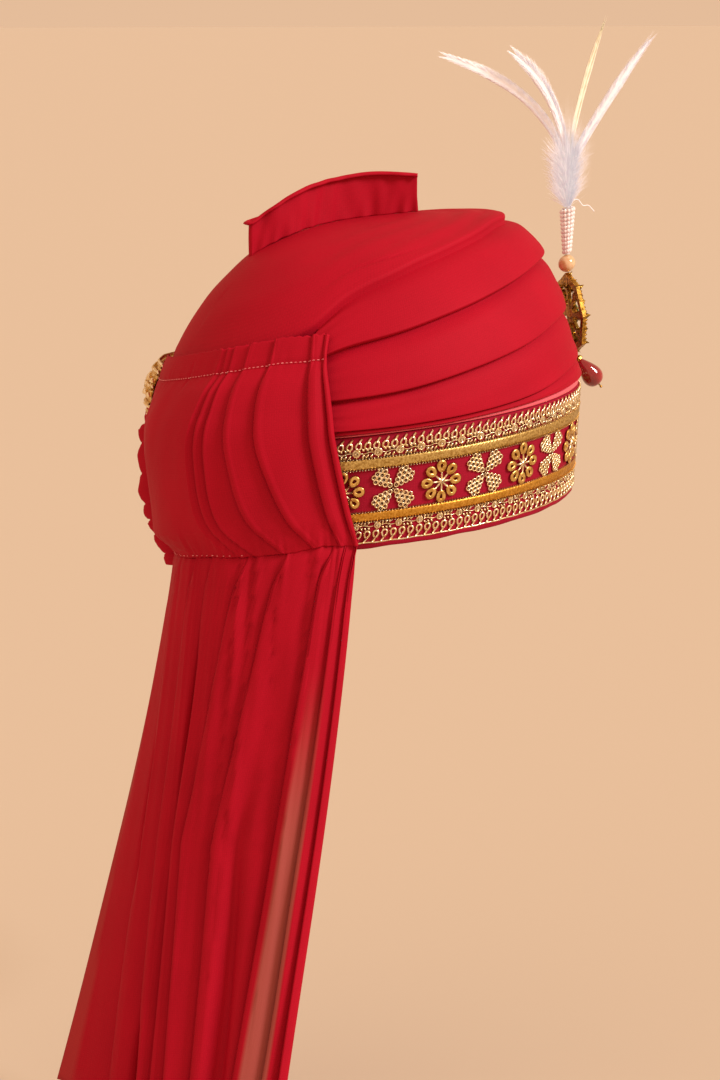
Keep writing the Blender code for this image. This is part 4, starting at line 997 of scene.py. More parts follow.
@dataclass
class BackPanel:
    """Pleated panel over the back, its stitches, the gathered edge and the gold strap."""

    wall: float = 0.9
    lift: float = 4.3
    puff: float = 6.0
    pleat: float = 3.4
    overhang: float = 1.4            # degrees
    # name, angles at the header, stitch, upper, middle, lower and seam levels, share of pleat
    folds: tuple = (
        ("right_edge", 122.5, 122.5, 120.0, 117.5, 114.5, 112.0, 1.00),
        ("fold_6", 125.5, 125.0, 123.5, 121.5, 118.5, 115.0, 1.00),
        ("fold_5", 137.0, 137.0, 137.0, 134.5, 128.5, 121.5, 1.10),
        ("fold_4", 145.0, 145.2, 145.0, 143.0, 138.5, 129.5, 1.20),
        ("fold_3", 151.0, 151.0, 150.6, 150.0, 147.4, 138.0, 1.30),
        ("fold_2", 153.5, 153.4, 153.4, 153.0, 150.6, 142.0, 1.30),
        ("fold_1", 156.0, 155.8, 156.2, 156.2, 154.2, 146.5, 1.30),
        ("bulge_a", 167.0, 167.0, 168.0, 167.0, 164.0, 158.0, 0.50),
        ("bulge_b", 180.0, 180.0, 181.0, 181.0, 179.0, 174.0, 0.35),
        ("bulge_c", 193.0, 193.0, 194.0, 194.0, 193.0, 189.0, 0.05),
        ("left_edge", 205.0, 205.0, 205.0, 205.0, 204.0, 202.0, 0.00),
    )
    pleated: int = 6                 # how many of them are knife pleats
    stitched_at: float = 0.11        # share of the way down
    # the gold strap: half width, share of the height, angles of its ends
    strap: float = 12.5
    strap_level: float = 0.468
    strap_ends: tuple[float, float] = (205.8, 238.0)
    ruche_angle: float = 209.0
    ruche_reach: float = 12.0
    levels: tuple = (0.0, 0.11, 0.28, 0.50, 0.80, 1.0)
    # share of the way down, share of the puff
    puffs: tuple = ((0.00, 0.10), (0.11, 0.00), (0.20, 0.55), (0.33, 0.90), (0.50, 1.00),
                    (0.68, 0.95), (0.84, 0.70), (0.89, 0.52), (0.95, 0.25), (1.00, 0.00))
    swells: tuple = ((112, 0.30), (135, 0.75), (160, 1.00), (175, 0.80), (185, 0.45),
                     (195, 0.08), (205, 0.00))
    top: tuple = ((112, 0.690), (123, 0.693), (135, 0.688), (144, 0.674), (152, 0.658),
                  (167, 0.634), (185, 0.606), (205, 0.585))
    seam: tuple = ((112, 0.024), (121, 0.034), (128, 0.016), (143, 0.004), (152, -0.003),
                   (165, -0.023), (185, -0.052), (205, -0.066))
    # how far it hugs the band below mid height, and how far its seam is drawn in
    hug: tuple = ((112, 0.0), (165, 0.0), (185, -1.8), (205, -3.0))
    tuck: tuple = ((112, 0.0), (150, 0.0), (165, -3.0), (185, -9.0), (205, -13.0))

    def surface(self, share: np.ndarray, depth: float = 0.0) -> tuple[np.ndarray, np.ndarray]:
        """Outer face at some levels.

        Args:
            share: levels from the header (0) to the seam (1).
            depth: how far below the face.

        Returns:
            The points (levels, columns, 3) and the angle of each.
        """
        fine = np.linspace(0, 1, 201)
        levels = smooth_rows(np.column_stack([self.levels, np.array([f[1:-1] for f in
                                                                     self.folds]).T]), 10)
        lines = np.array([np.interp(share, levels[:, 0], levels[:, 1 + k])
                          for k in range(len(self.folds))])
        puffs = smooth_rows(self.puffs, 8)
        puff = np.interp(share, fine, np.interp(fine, puffs[:, 0], puffs[:, 1]))[:, None]
        step, over, pleat_depth = KNIFE_PLEAT.T
        angle, fold = [], []
        for number in range(len(self.folds) - 1):
            wide = (lines[number + 1] - lines[number])[:, None]
            angle.append(lines[number][:, None] + step * wide)
            start, end = self.folds[number][-1], self.folds[number + 1][-1]
            if number < self.pleated:
                angle[-1] = angle[-1] + over * np.minimum(self.overhang, 0.25 * wide)
                hump = pleat_depth * start
            else:
                hump = start + (end - start) * step - 0.12 * start * np.sin(np.pi * step)
            fold.append(np.broadcast_to(hump, angle[-1].shape))
        angle.append(lines[-1][:, None])
        fold.append(np.full((len(share), 1), self.folds[-1][-1]))
        angle, fold, s = np.hstack(angle), np.hstack(fold), share[:, None]
        high, low, swell, hug, tuck = (np.interp(angle, *zip(*table)) for table in
                                       (self.top, self.seam, self.swells, self.hug, self.tuck))
        height = FORM.height * (high + (low - high) * s)
        off = (self.lift + self.puff * puff * swell + self.pleat * fold * (0.4 + 0.6 * puff)
               + hug * eased((s - 0.42) / 0.36) + tuck * eased((s - 0.87) / 0.13))
        near_seam = eased((s - 0.80) / 0.2)
        near_stitch = eased(1 - np.abs(s - self.stitched_at) / 0.10)
        gather = ripples(angle / 2.6, s * 2.0, 31, 7)
        off = off + 0.55 * near_seam * gather + 0.25 * near_stitch * gather
        off = off + 0.35 * ripples(angle / 16, s * 2.2, 12, 5) * eased(s / 0.2)
        off = off - 0.7 * np.exp(-((s - self.stitched_at) / 0.013) ** 2)
        ragged = 0.35 * ripples(angle / 3.4, s * 0, 14, 5) * eased(1 - s / 0.05)
        return FORM.point(angle, height + ragged, off - depth), angle

    def panel(self, cloth: Material, thread: Material) -> None:
        """The panel's cloth and the dashed line of pale stitches across its header."""
        share = np.concatenate([np.linspace(0, 0.2, 26), np.linspace(0.21, 0.8, 56),
                                np.linspace(0.81, 1.0, 26)])
        shape = Shape.grid(self.surface(share)[0]).facing((0, 0, 40))
        piece = shape.build("back_panel_cloth", cloth, Slot.CLOTH, ("back_panel",),
                            wall=self.wall)
        header = self.surface(np.array([0.105, 0.115]), -0.45)[0].mean(0)
        self.stitched(header, thread, "header_stitches", 2.3, 1.35)
        seam = self.surface(np.array([0.985, 0.99]), -0.35)[0].mean(0)
        self.stitched(seam[100:], thread, "seam_stitches", 4.2, 1.1)

    def stitched(self, path: np.ndarray, thread: Material, name: str, pitch: float,
                 length: float) -> None:
        """Short stitches along a path, each a capsule laid along it.

        Args:
            path: (points, 3).
            thread: the stitches' material.
            name: the piece's name.
            pitch: from stitch to stitch.
            length: of one stitch.
        """
        arc = arc_length(path)
        starts = np.arange(1.0, arc[-1] - length, pitch)
        where = starts[:, None] + np.linspace(0, length, 4)[None]
        made = [tube(line, (0.12, 0.30, 0.30, 0.12), 5) for line in sampled(where, arc, path)]
        Shape.joined(made).build(name, thread, Slot.CLOTH)

    def ruche(self, cloth: Material) -> None:
        """Gathered edge: a closed fold carried down the far side in scalloped lobes."""
        table = np.array([
            # share of the height, reach and foot as shares of ruche_reach
            (0.555, 0.40, 0.22), (0.480, 0.62, 0.22), (0.385, 0.62, 0.22),
            (0.335, 0.95, 0.22), (0.250, 1.05, 0.08), (0.120, 1.12, 0.08),
            (0.040, 0.90, 0.08), (0.000, 0.74, 0.06), (-0.060, 0.44, -0.40),
            (-0.145, -0.06, -0.80)])
        share = np.linspace(0, 1, 200)
        rows = np.linspace(0, 1, len(table))
        height, reach, foot = (np.interp(share, rows, table[:, k]) for k in range(3))
        height = height * FORM.height
        reach, foot = reach * self.ruche_reach, foot * self.ruche_reach
        phase = share * 9
        lobe = np.abs(np.sin(np.pi * (phase + 0.5))) ** 0.55
        wave = 1.9 * (2 * lobe - 1.15)
        outline = smooth_rows(((-1.8, 0.0), (-1.6, 0.35), (-1.2, 0.7), (0.0, 1.0), (1.4, 0.72),
                               (2.0, 0.35), (2.1, 0.0)), 3)
        crease = 0.5 * ripples(phase * 3.1, share * 0, 44, 6)
        sections = [FORM.point(self.ruche_angle + turn + 0.45 * wave * part + 0.2 * crease * part,
                               height + 0.8 * crease * part,
                               foot + part * (reach + wave - foot) + 0.4 * crease * part)
                    for turn, part in outline]
        shape = Shape.grid(np.stack(sections, 1), columns_closed=True)
        shape = shape.closed_ends(200, len(outline))
        centre = shape.points.mean(0)
        piece = shape.facing(centre * (0.9, 0.9, 1)).build("ruched_edge_cloth", cloth,
                                                           Slot.CLOTH, ("ruched_edge",))

    def keeper(self, foil: Material, purl: Material) -> None:
        """Gold embroidered strap: padded foil base, couched cords and rows of beads."""
        station = np.linspace(0, 1, 60)
        start, end = self.strap_ends
        angle = start + (end - start) * station
        arch = 2.9 + 8.6 * np.interp(station, (0, 0.06, 0.14, 0.35, 0.6, 1.0),
                                     (0.05, 0.38, 0.72, 0.98, 0.70, 0.0))
        middle = FORM.height * self.strap_level

        def over(up: np.ndarray, out: np.ndarray) -> np.ndarray:
            """Point over the strap: up from its centre line, out from its inner face."""
            crowned = 1.0 - 0.45 * (up / self.strap) ** 2
            return FORM.point(angle[:, None], middle + up, arch[:, None] * crowned + out)

        half_up = np.array([0.0, 0.28, 0.62, 0.93, 1.01, 1.0])
        half_out = np.array([2.85, 2.75, 2.5, 2.1, 1.2, 0.0])
        up = self.strap * np.concatenate([-half_up[:0:-1], half_up])
        out = np.concatenate([half_out[:0:-1], half_out])
        shape = Shape.grid(over(up[None], out[None]), columns_closed=True)
        shape = shape.closed_ends(60, len(up))
        centre = shape.points.mean(0) * (0.93, 0.93, 1)
        shape.facing(centre).build("keeper_base", foil, Slot.THREAD, ("gold_keeper",))
        cords, beads = [], []
        for line, size in ((-11.0, 1.1), (-7.4, 0.9), (7.4, 0.9), (11.0, 1.1), (0.0, 1.1)):
            wave = 0.5 * np.sin(np.linspace(0, 26 * np.pi, 60))
            height = np.interp(abs(line), up[5:9], out[5:9])
            path = over(line + wave[:, None] * (line == 0), height + 0.5)[:, 0]
            cords.append(tube(path, size, 6))
            dots = sampled(np.linspace(0, 1, 38), station, path)
            beads.append(bead(1.1, 6, 3).copied(dots + (0, 0, 1.5 if line >= 0 else -1.5)))
        for line in (-3.8, 3.8):
            row = over(np.full((60, 1), line), 3.3)[:, 0]
            dots = sampled(np.linspace(0.04, 0.96, 12), station, row)
            beads.append(bead(2.1, 8, 3, 0.7).copied(dots))
        Shape.joined(cords).build("keeper_cords", foil, Slot.THREAD)
        Shape.joined(beads).build("keeper_beads", purl, Slot.THREAD)


@dataclass
class Tail:
    """Long pleated tail that hangs from the gather seam."""

    end: float = -300.0
    right_foot: tuple[float, float] = (-95.0, 87.0)
    left_foot: tuple[float, float] = (25.0, 165.0)
    bow: float = 16.0
    pleat: float = 7.0
    wall: float = 0.9
    swing: float = 1.22
    overhang: float = 0.028          # of a pleat's folded edge, share of the width
    seam_from: float = 112.5         # angle of its right edge at the seam
    seam_span: float = 83.5
    # name, share across at the seam, halfway and the hem, from the right edge
    folds: tuple = (
        ("right_hem", 0.000, 0.000, 0.000), ("hem_band", 0.030, 0.040, 0.050),
        ("fold_6", 0.060, 0.110, 0.145), ("fold_5", 0.200, 0.330, 0.290),
        ("fold_4", 0.330, 0.470, 0.410), ("fold_3", 0.477, 0.520, 0.470),
        ("fold_2", 0.559, 0.580, 0.540), ("fold_1", 0.695, 0.716, 0.650),
        ("left_hem", 1.000, 1.000, 1.000),
    )
    # openings between pleats: fold, share beside it, half width, drop, half length, depth
    gaps: tuple = ((7, 0.030, 0.016, 0.47, 0.11, 9.0), (6, 0.030, 0.014, 0.93, 0.07, 8.0),
                   (3, -0.050, 0.026, 0.80, 0.34, 9.0), (5, 0.018, 0.010, 0.30, 0.12, 5.0))

    def hang(self, panel: BackPanel, cloth: Material) -> None:
        """Builds the tail: straight lines from the seam to the hem, swung back and pleated.

        Args:
            panel: the panel whose seam it hangs from.
            cloth: georgette.
        """
        seam, seam_angle = (part[-1] for part in panel.surface(np.array([0.999, 1.0])))
        drops = np.concatenate([np.linspace(0, 0.12, 16), np.linspace(0.135, 1, 76)])
        steps, over, pleat_depth = KNIFE_PLEAT.T
        foot = np.array([(*self.right_foot, self.end), (*self.left_foot, self.end)])
        line = foot[1] - foot[0]
        outward = np.array([-line[1], line[0], 0.0]) / np.hypot(line[0], line[1])
        shares, depths, drop = [], [], drops[:, None]
        lines = np.array([np.interp(drops, (0, 0.5, 1), row[1:]) for row in self.folds])
        for number in range(len(self.folds) - 1):
            wide = (lines[number + 1] - lines[number])[:, None]
            hang = over * np.minimum(self.overhang, 0.22 * wide) * eased(drops / 0.06)[:, None]
            shares.append(lines[number][:, None] + steps * wide + hang)
            depths.append(np.broadcast_to(pleat_depth, shares[-1].shape))
        shares.append(np.ones((len(drops), 1)))
        depths.append(np.ones((len(drops), 1)))
        share, depth = np.hstack(shares), np.hstack(depths)
        top = sampled(self.seam_from + self.seam_span * share, seam_angle, seam)
        end = foot[0] + line * share[..., None] \
            + outward * (self.bow * np.sin(np.pi * share))[..., None]
        end[..., 2] += end[..., 1] * RIM_SLOPE
        power = np.stack([drop ** self.swing, drop ** self.swing, drop], -1)
        flat = top + (end - top) * power
        fold = self.pleat * (0.45 + 0.55 * drop) * depth * np.minimum(1, drop * 6 + 0.35)
        for number, beside, half, middle, length, deep in self.gaps:
            centre = lines[number][:, None] + beside
            fold = fold - deep * np.exp(-((share - centre) / half) ** 2
                                        - ((drop - middle) / length) ** 2)
        soft = 0.5 * ripples(share * 7 + drop, drop * 1.6, 51, 6) * eased(drop / 0.2)
        gather = 0.2 * ripples(share * 40, drop * 4, 52, 6) * eased(1 - drop / 0.12)
        tuck = -2.2 * eased(1 - drop / 0.012)
        points = flat + outward * (fold + soft + gather + tuck)[..., None]
        points[..., 2] += 3.0 * eased(1 - drop / 0.006)
        points[..., 2] += 1.5 * ripples(share * 7, share * 0, 53, 5) * eased((drop - 0.9) / 0.1)
        shape = Shape.grid(points).facing((0, 0, -60))
        # Painted light: this mask lightens the colour towards pink beside fold 6 and in a strip
        # at the lower left, as light seen through single layers of georgette, and along the upper
        # left hem as a painted highlight.
        right = eased((share - lines[1][:, None]) / 0.008) * (share < lines[2][:, None] + 0.01)
        left = eased((share - 0.975) / 0.006) * (share < 0.992)
        strip = eased((share - 1.05 + 0.16 * drop) / 0.01) * eased((drop - 0.35) / 0.1)
        painted_sheer_light = (0.95 * right * eased((drop - 0.18) / 0.35) + 0.6 * left
                 * eased((drop - 0.08) / 0.08) * eased((0.55 - drop) / 0.1) + 0.30 * strip)
        shape.painted_sheer_light = np.clip(painted_sheer_light, 0, 1).ravel()
        piece = shape.build("tail_cloth", cloth, Slot.CLOTH, ("tail",), wall=self.wall)


@dataclass
class Tuft:
    """Upright fold of cloth along the top, turned back in layers behind."""

    wall: float = 1.2
    # along y, across x, top edge above the rim
    path: tuple = ((-31.0, 9.0, 171.5), (-20.0, 12.0, 173.5), (-6.0, 15.5, 175.0),
                   (10.0, 16.0, 174.5), (24.0, 12.0, 173.5), (36.0, 8.5, 171.0),
                   (47.0, 8.0, 166.0), (56.0, 10.0, 160.5), (61.0, 11.0, 157.5))
    fold_back: float = 26.0
    layer: float = 3.4
    outside: tuple[float, float, float] = (60, 10, 165)

    def foot(self, x: np.ndarray, y: np.ndarray) -> np.ndarray:
        """Height of the cap's surface above points of the plan."""
        angle = np.linspace(-180, 180, 73)
        share = np.linspace(0.05, 0.999, 120)
        height = FORM.up_meridian(FORM.edge("cap", angle)[None], share[:, None])
        off = np.interp(share, (0.045, 0.22, 0.46, 0.70), (1.9, 1.1, 0.3, 0.0))
        points = FORM.point(angle[None], height, off[:, None]).reshape(-1, 3)
        away = (points[None, :, 0] - x[:, None]) ** 2 + (points[None, :, 1] - y[:, None]) ** 2
        nearest = np.argsort(away, axis=1)[:, :4]
        weight = 1 / (np.take_along_axis(away, nearest, 1) + 0.05)
        return (points[nearest, 2] * weight).sum(1) / weight.sum(1)

    def stand(self, cloth: Material) -> None:
        """Builds the fold: its plan path raised from the cap to its rolled top edge."""
        path = smooth_rows(self.path, 12)
        rear = path[-1]
        back = smooth_rows(np.array([rear, rear + (-0.5, self.layer, 0.5),
                                     rear + (-self.fold_back * 0.5, self.layer + 2.0, 2.5),
                                     rear + (-self.fold_back, self.layer + 1.0, 5.0)]), 8)
        path = np.vstack([path, back[1:]])
        y, x, top = path.T
        foot = self.foot(x, y) + 0.15
        share = np.concatenate([np.linspace(0, 0.9, 22), [0.94, 0.97, 0.99, 1.0, 0.99, 0.96]])
        lean = np.concatenate([np.zeros(22), [0.1, 0.3, 0.7, 1.2, 1.6, 1.8]])
        along = unit(np.gradient(path[:, :2], axis=0))
        arc = np.concatenate([[0], np.cumsum(np.hypot(np.diff(x), np.diff(y)))])
        soft = 0.5 * ripples(arc[None] / 15, share[:, None] * 1.3, 61, 6)
        flare = 0.8 * (1 - share[:, None]) ** 2 * ripples(arc[None] / 8, share[:, None], 62, 5)
        move = soft + flare - lean[:, None]
        points = np.stack([x + along[None, :, 0] * move, y - along[None, :, 1] * move,
                           foot + (top - foot) * share[:, None]], -1)
        surface = Shape.grid(points).facing(self.outside)
        piece = surface.build("tuft_cloth", cloth, Slot.CLOTH, ("top_tuft",), wall=self.wall)


@dataclass
class Kalgi:
    """Gold brooch with stones, pearl, beaded stem, feather plume and ruby drop."""

    high: float = 45.0
    wide: float = 34.0
    plate: float = 2.0
    lean: float = 7.0
    seat_share: float = 0.556
    stand_off: float = 10.5
    pearl: float = 9.3
    stem: float = 25.0
    stem_top: float = 8.0
    stem_foot: float = 4.4
    drop: float = 19.0
    drop_wide: float = 11.0
    drop_tilt: float = 39.0
    cap: float = 3.2
    gap: float = 0.35                # between pearl, stem, plume and drop
    heart: float = 5.6               # radius of the middle stone
    stone: float = 2.9               # radius of a stone of the ring
    ring_share: float = 0.62
    ring_stones: tuple = ("amber", "amber", "clear", "red", "red", "red", "clear", "amber")
    down_barbs: int = 5200
    vane_barbs: int = 1000
    barb: float = 0.5                # width at the root
    # towards the front, towards the wearer's left, up, bow, half width
    vanes: tuple = ((-68.0, 6.0, 86.0, 14.0, 2.9), (-33.0, -6.0, 83.0, 12.0, 3.4),
                    (22.0, 4.0, 94.0, -5.0, 2.2), (45.0, -4.0, 83.0, -11.0, 3.2))

    def at(self, points: np.ndarray) -> np.ndarray:
        """Maps (across, up, out of the plate) into the brooch's leaning plane."""
        points = np.asarray(points, float)
        lean = math.radians(self.lean)
        seat = FORM.point(0.0, self.seat_share * FORM.height, self.stand_off)
        x, up, out = points[..., 0], points[..., 1], points[..., 2]
        return seat + np.stack([x, -out * math.cos(lean) + up * math.sin(lean),
                                out * math.sin(lean) + up * math.cos(lean)], -1)

    def brooch(self, gold: Material, stones: dict[str, Material]) -> None:
        """Cut stones, prongs, bead edging and leaves that finish the cast gold brooch."""
        half_wide, half_high = self.wide / 2, self.high / 2
        seats = [(0.0, 0.0, self.heart, "green")]
        for step, kind in enumerate(self.ring_stones):
            turn = math.radians(45 * step)
            seats.append((self.ring_share * half_wide * math.sin(turn),
                          self.ring_share * half_high * math.cos(turn), self.stone, kind))
        cuts = {kind: [] for kind in stones}
        trim = []
        for x, up, radius, kind in seats:
            cut = lathe(((radius * 0.9, self.plate), (radius + 0.2, self.plate + 1.0),
                         (radius + 0.05, self.plate + 1.3), (radius * 0.72, self.plate + 2.5),
                         (radius * 0.5, self.plate + 2.95)), 12 if radius > 4 else 8)
            cuts[kind].append(cut.shifted((x, up, 0)))
            prongs = 6 if radius > 4 else 4
            for turn in range(30, 390, 360 // prongs):
                a = math.radians(turn)
                reach = radius + 0.35
                foot = np.array([x + reach * math.cos(a), up + reach * math.sin(a), 1.2])
                reach = radius - 0.3
                tip = (x + reach * math.cos(a), up + reach * math.sin(a), self.plate + 2.1)
                trim.append(tube([foot, foot + (0, 0, 1.9), tip], (0.5, 0.42, 0.4), 5))
        turn = np.linspace(0, 2 * np.pi, 56, endpoint=False)
        reach = 1.0 - 0.09 * np.abs(np.sin(4 * turn))
        rim = np.stack([reach * (half_wide - 0.8) * np.sin(turn),
                        reach * (half_high - 0.8) * np.cos(turn), np.full(56, 2.3)], -1)
        trim.append(bead(0.85, 6, 3).copied(rim))
        trim.append(bead(0.62, 6, 3).copied(rim * (0.84, 0.84, 1)))
        for k in range(16):
            a = 2 * math.pi * k / 16
            reach = 1.0 - 0.09 * abs(math.sin(4 * a))
            blade = leaf(3.4 if k % 2 else 4.4, 3.2, 1.0)
            tipped = blade.points @ np.array([[1, 0, 0], [0, 0.55, 0.85], [0, -0.85, 0.55]])
            blade = turned(blade.moved(tipped), -math.degrees(a),
                           (reach * (half_wide - 2.2) * math.sin(a),
                            reach * (half_high - 2.2) * math.cos(a), 0.9))
            trim.append(blade)
        for radius, up in ((3.1, 8.5), (2.3, -6.0)):
            loop = np.linspace(0, 2 * np.pi, 16, endpoint=False)
            curl = np.stack([np.zeros(16), up + radius * np.cos(loop),
                             -1.6 - radius * 0.9 + radius * 0.9 * np.sin(loop)], -1)
            trim.append(tube(curl, 0.7, 6, closed=True))
        work = Shape.joined(trim)
        work.moved(self.at(work.points)).build("brooch_filigree", gold, Slot.GOLD)
        for kind, parts in cuts.items():
            cut = Shape.joined(parts)
            cut.moved(self.at(cut.points)).build(f"brooch_stones_{kind}", stones[kind],
                                                 Slot.GLASS, smooth=False)
        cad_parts["brooch"].material_slots[0].material = gold

    def strung(self, golden: Material, nacre: Material) -> np.ndarray:
        """Golden pearl and the stem wound with strings of seed pearls.

        Args:
            golden: the pearl's material.
            nacre: the seed pearls' material.

        Returns:
            The foot of the plume.
        """
        centre = self.at((0, self.high / 2, self.plate / 2)) \
            + (0, 0, self.gap + self.pearl / 2)
        bead(self.pearl / 2, 32, 21).shifted(centre).build("golden_pearl", golden, Slot.PEARL,
                                                           ("pearl",))
        foot = centre + (0, 0, self.pearl / 2 + self.gap)
        turns, each = 11, 11
        t = np.arange(turns * each) / (turns * each)
        angle = 2 * np.pi * turns * t
        radius = (self.stem_foot + (self.stem_top - self.stem_foot) * t) / 2 - 0.65
        places = np.stack([radius * np.cos(angle), radius * np.sin(angle),
                           0.8 + t * (self.stem - 1.2)], -1) + foot
        strings = bead(1.18, 8, 5).copied(places)
        core = lathe(((1.4, 0.1), (1.9, self.stem * 0.5), (2.9, self.stem - 0.3)), 12)
        Shape.joined([strings, core.shifted(foot)]).build("wound_seed_pearls", nacre, Slot.SEED,
                                            ("beaded_stem",))
        return foot + (0, 0, self.stem + self.gap)

    def barbs(self, start: np.ndarray, way: np.ndarray, bend: np.ndarray) -> Shape:
        """Thin tapering ribbons, one a barb: p = start + way s + bend s squared.

        Args:
            start: (barbs, 3) roots.
            way: (barbs, 3) full reach.
            bend: (barbs, 3) extra curve at the tip.

        Returns:
            All ribbons as one shape.
        """
        share = np.linspace(0, 1, 6)[None, :, None]
        path = start[:, None] + way[:, None] * share + bend[:, None] * share ** 2
        along = way[:, None] + 2 * bend[:, None] * share
        side = unit(np.cross(along, (0.31, 0.47, 0.11)))
        half = 0.5 * self.barb * (1 - 0.8 * share)
        both = np.stack([path - side * half, path + side * half], 2)
        one = Shape.grid(np.zeros((6, 2, 3)) + np.arange(6)[:, None, None])
        return one.repeated(both.reshape(len(start), 12, 3))

    def plume(self, root: np.ndarray, white: Material,
              cream: Material) -> None:
        """Downy foot and four curved feathers with their barbs."""
        pick = np.random.default_rng(7)
        count, total = self.down_barbs, self.vane_barbs
        turn = pick.uniform(0, 2 * np.pi, count)
        level = pick.uniform(0, 1, count) ** 1.2
        flare = pick.uniform(0.1, 1.0, count) ** 1.4
        reach = pick.uniform(6, 15, count) + pick.uniform(0, 1, count) ** 3 * 20
        start = root + np.stack([1.6 * np.cos(turn), 1.6 * np.sin(turn), level * 24], -1)
        spread = 8.5 + 3.0 * level
        way = np.stack([spread * flare * np.cos(turn) * 0.8, spread * flare * np.sin(turn),
                        reach * (1.05 - 0.45 * flare)], -1)
        bend = np.stack([2.2 * np.cos(turn) * flare, 2.6 * np.sin(turn) * flare,
                         pick.uniform(-1, 5, count)], -1)
        down = [self.barbs(start, way, bend)]
        for number, (forward, left, up, bow, half) in enumerate(self.vanes):
            s = np.linspace(0.02, 1, 60)
            z = 14 + (up - 14) * s + bow * 0.5 * np.sin(np.pi * s)
            path = root + np.stack([left * s, -forward * s ** 1.7, z * np.minimum(1, s * 6)], -1)
            blade = half * np.interp(s, (0.0, 0.18, 0.4, 0.75, 0.93, 1.0),
                                     (0.15, 0.55, 0.85, 0.95, 0.55, 0.08))
            shaft = Shape.joined([tube(path, np.interp(s, (0, 1), (0.55, 0.16)), 5),
                                  tube(path, blade / 7, 8, flat=7.0)])
            where = pick.uniform(0.14, 1.0, total)
            roots = sampled(where, s, path)
            along = sampled(where, s, unit(np.gradient(path, axis=0)))
            across = np.cross(along, (1.0, 0, 0))
            side = np.where(np.arange(total) % 2, 1.0, -1.0)
            size = half * np.interp(where, (0.1, 0.35, 0.7, 1.0), (0.9, 0.8, 1.0, 0.5))
            out = across * (side * size * pick.uniform(0.7, 1.2, total))[:, None]
            out[:, 0] += pick.uniform(-1, 1, total) * size * 0.5
            lift = along * (size * pick.uniform(1.8, 3.6, total))[:, None]
            if number == 2:
                made = Shape.joined([shaft, self.barbs(roots, out * 0.55 + lift, lift * 0.4)])
                made.build("cream_feather", cream, Slot.FEATHER)
            else:
                down += [shaft, self.barbs(roots, out * 0.9 + lift, lift * 0.35)]
        thread = np.array([(0, -1, 2), (0.5, -6, 3.2), (0.8, -9.5, -0.5), (1.0, -13, -1.0),
                           (1.2, -16.5, -4.6)]) + root
        down.append(tube(smooth_rows(thread, 5), 0.28, 5))
        Shape.joined(down).build("white_plume", white, Slot.FEATHER, ("plume",))

    def hanging(self, glass: Material, gold: Material) -> None:
        """Ruby glass teardrop, and the gold pin end below it."""
        seat = self.at((0, -self.high / 2, self.plate / 2)) + (0, -0.35, -0.7)
        tilt = math.radians(self.drop_tilt)
        down = np.array([0.0, -math.sin(tilt), -math.cos(tilt)])
        side = np.array([1.0, 0.0, 0.0])
        front = np.cross(side, down)

        def laid(points: np.ndarray, start: float) -> np.ndarray:
            """Lays points turned about Z along the drop's own line."""
            return (seat + points[:, :1] * side + points[:, 1:2] * front
                    + (points[:, 2:3] + start) * down)

        rows = smooth_rows(((0.14, 0.00), (0.34, 0.08), (0.58, 0.24), (0.84, 0.44),
                            (1.00, 0.64), (0.94, 0.80), (0.66, 0.93), (0.10, 1.00)), 4)
        body = lathe([(self.drop_wide / 2 * r, self.drop * h) for r, h in rows], 28)
        body = body.moved(laid(body.points, self.cap + self.gap))
        body.facing(body.points.mean(0)).build("ruby_teardrop", glass, Slot.GLASS,
                                               ("ruby_drop",))
        pin = Shape.joined([lathe(((0.5, 0), (0.35, 1.6), (0.35, 2.2)), 8),
                            bead(0.75, 8, 5).shifted((0, 0, 2.5))])
        pin.moved(laid(pin.points, self.cap + 0.2 + self.drop)).build("drop_pin", gold,
                                                                      Slot.GOLD)
        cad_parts["drop_cap"].material_slots[0].material = gold


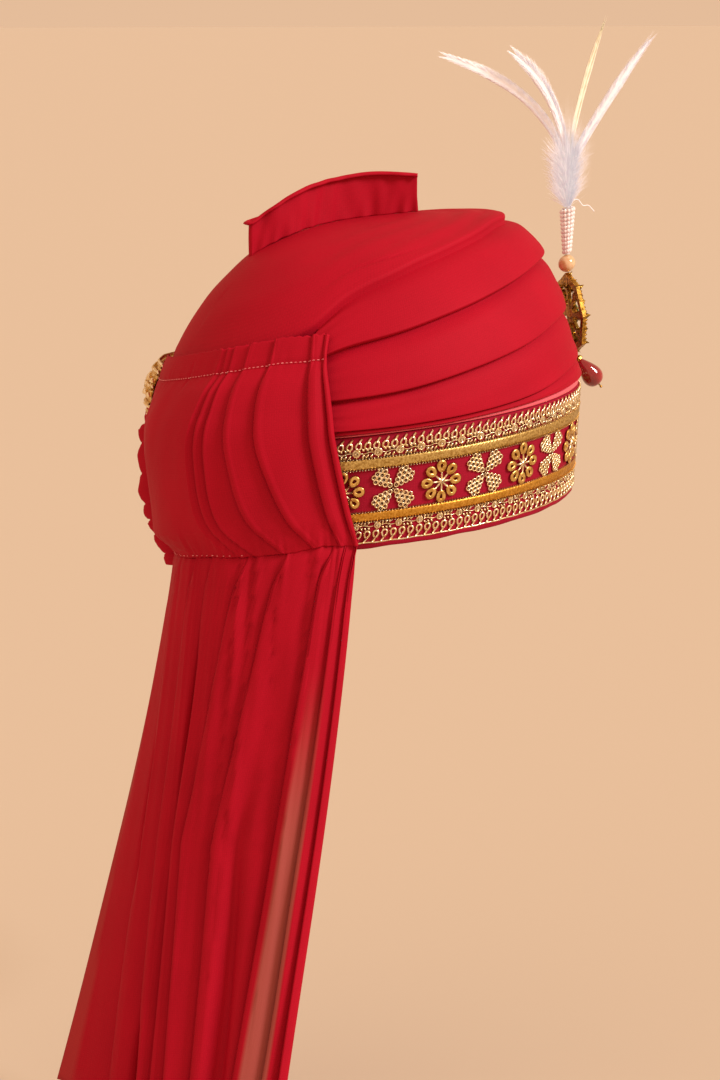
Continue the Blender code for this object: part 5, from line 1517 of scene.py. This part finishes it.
@dataclass
class Studio:
    """Pale floor, soft lights, and the camera at the photograph's angle."""

    azimuth: float = 248.0
    elevation: float = 10.0
    distance: float = 1.5
    pixel: float = 0.00053
    origin_pixel: tuple[float, float] = (369.0, 508.5)
    size: tuple[int, int] = (720, 1080)
    floor_height: float = -0.322
    floor_reach: float = 90.0
    paper: str = "#CDBDA8"
    sky: str = "#F6CBA6"
    sky_strength: float = 0.85
    # name; direction right, near and up; watts a square metre; width in radians; colour
    lamps: tuple = (("key", (1.5, 0.75, 1.15), 2.8, 0.35, "#FFF8F4"),
                    ("fill", (-1.0, 1.2, 0.5), 0.30, 1.2, "#FFF0E8"))

    def camera(self) -> None:
        """Sets the camera so that the rim's centre falls where the photograph has it."""
        turn, tilt = math.radians(self.azimuth), math.radians(self.elevation)
        back = Vector((math.sin(turn) * math.cos(tilt), -math.cos(turn) * math.cos(tilt),
                       math.sin(tilt)))
        lens = bpy.data.cameras.new("view")
        lens.sensor_fit = "VERTICAL"
        lens.sensor_height = 36.0
        lens.lens = 36.0 * self.distance / (self.size[1] * self.pixel)
        lens.shift_x = (self.size[0] / 2 - self.origin_pixel[0]) / self.size[1]
        lens.shift_y = (self.origin_pixel[1] - self.size[1] / 2) / self.size[1]
        eye = linked("view", lens)
        eye.location = back * self.distance
        eye.rotation_euler = back.to_track_quat("Z", "Y").to_euler()
        bpy.context.scene.camera = eye

    def light(self, name: str, where: tuple[float, float, float], power: float, angle: float,
              colour: str) -> None:
        """Adds a distant, even light aimed at the turban.

        Args:
            name: its name.
            where: direction to the camera's right, towards the camera, and up.
            power: watts a square metre.
            angle: how wide the light looks, in radians.
            colour: sRGB hex.
        """
        turn = math.radians(self.azimuth)
        right = Vector((math.cos(turn), math.sin(turn), 0))
        near = Vector((math.sin(turn), -math.cos(turn), 0))
        made = bpy.data.lights.new(name, "SUN")
        made.energy = power
        made.angle = angle
        made.color = linear(colour)[:3]
        lamp = linked(name, made)
        lamp.location = right * where[0] + near * where[1] + Vector((0, 0, where[2]))
        lamp.rotation_euler = lamp.location.to_track_quat("Z", "Y").to_euler()

    def room(self) -> None:
        """Pale floor, pale world, and the key and fill lights."""
        mesh = bpy.data.meshes.new("floor")
        reach, z = self.floor_reach, self.floor_height
        mesh.from_pydata([(-reach, -reach, z), (reach, -reach, z), (reach, reach, z),
                          (-reach, reach, z)], [], [(0, 1, 2, 3)])
        paper = bpy.data.materials.new("matt backdrop paper")
        paper.use_nodes = True
        shader = paper.node_tree.nodes["Principled BSDF"]
        shader.inputs["Base Color"].default_value = linear(self.paper)
        shader.inputs["Roughness"].default_value = 0.95
        mesh.materials.append(paper)
        linked("floor", mesh)
        world = bpy.data.worlds.new("studio")
        world.use_nodes = True
        fill(world.node_tree, world.node_tree.nodes["Background"],
             {0: linear(self.sky), 1: self.sky_strength})
        bpy.context.scene.world = world
        bpy.context.scene.view_settings.view_transform = "Standard"
        for lamp in self.lamps:
            self.light(*lamp)


def main() -> None:
    """Builds the turban's pieces in order and reports each."""
    logging.basicConfig(level=logging.INFO, format="%(name)s %(message)s")
    studio = Studio()
    studio.camera()
    studio.room()
    cloth = GEORGETTE.material()
    crown = WrappedCrown()
    crown.cap(cloth)
    crown.wraps(cloth)
    crown.inner_face(SHADED_INNER_SIDE.material())
    purl, foil, stitch = PURL.material(), SEQUIN.material(), STITCH.material()
    band = RimBand()
    band.ground(DUPION.material(), SATIN.material())
    band.braid({"gold_braid_upper": ZARI.material(), "gold_braid_lower": ZARI_ORANGE.material()},
               purl)
    band.loops(purl)
    crystal = CRYSTAL.material()
    band.vines(purl, crystal)
    band.flowers(foil, purl)
    panel = BackPanel()
    panel.panel(cloth, stitch)
    panel.ruche(cloth)
    panel.keeper(foil, purl)
    Tail().hang(panel, cloth)
    Tuft().stand(cloth)
    kalgi = Kalgi()
    gold = OLD_GOLD.material()
    kalgi.brooch(gold, {"green": GREEN.material(), "amber": AMBER.material(),
                        "red": RED_STONE.material(), "clear": crystal})
    root = kalgi.strung(GOLDEN_PEARL.material(), SEED_NACRE.material())
    kalgi.plume(root, FEATHER.material(), CREAM_FEATHER.material())
    kalgi.hanging(RUBY.material(), gold)
    bpy.context.view_layer.update()


if __name__ == "__main__":
    main()
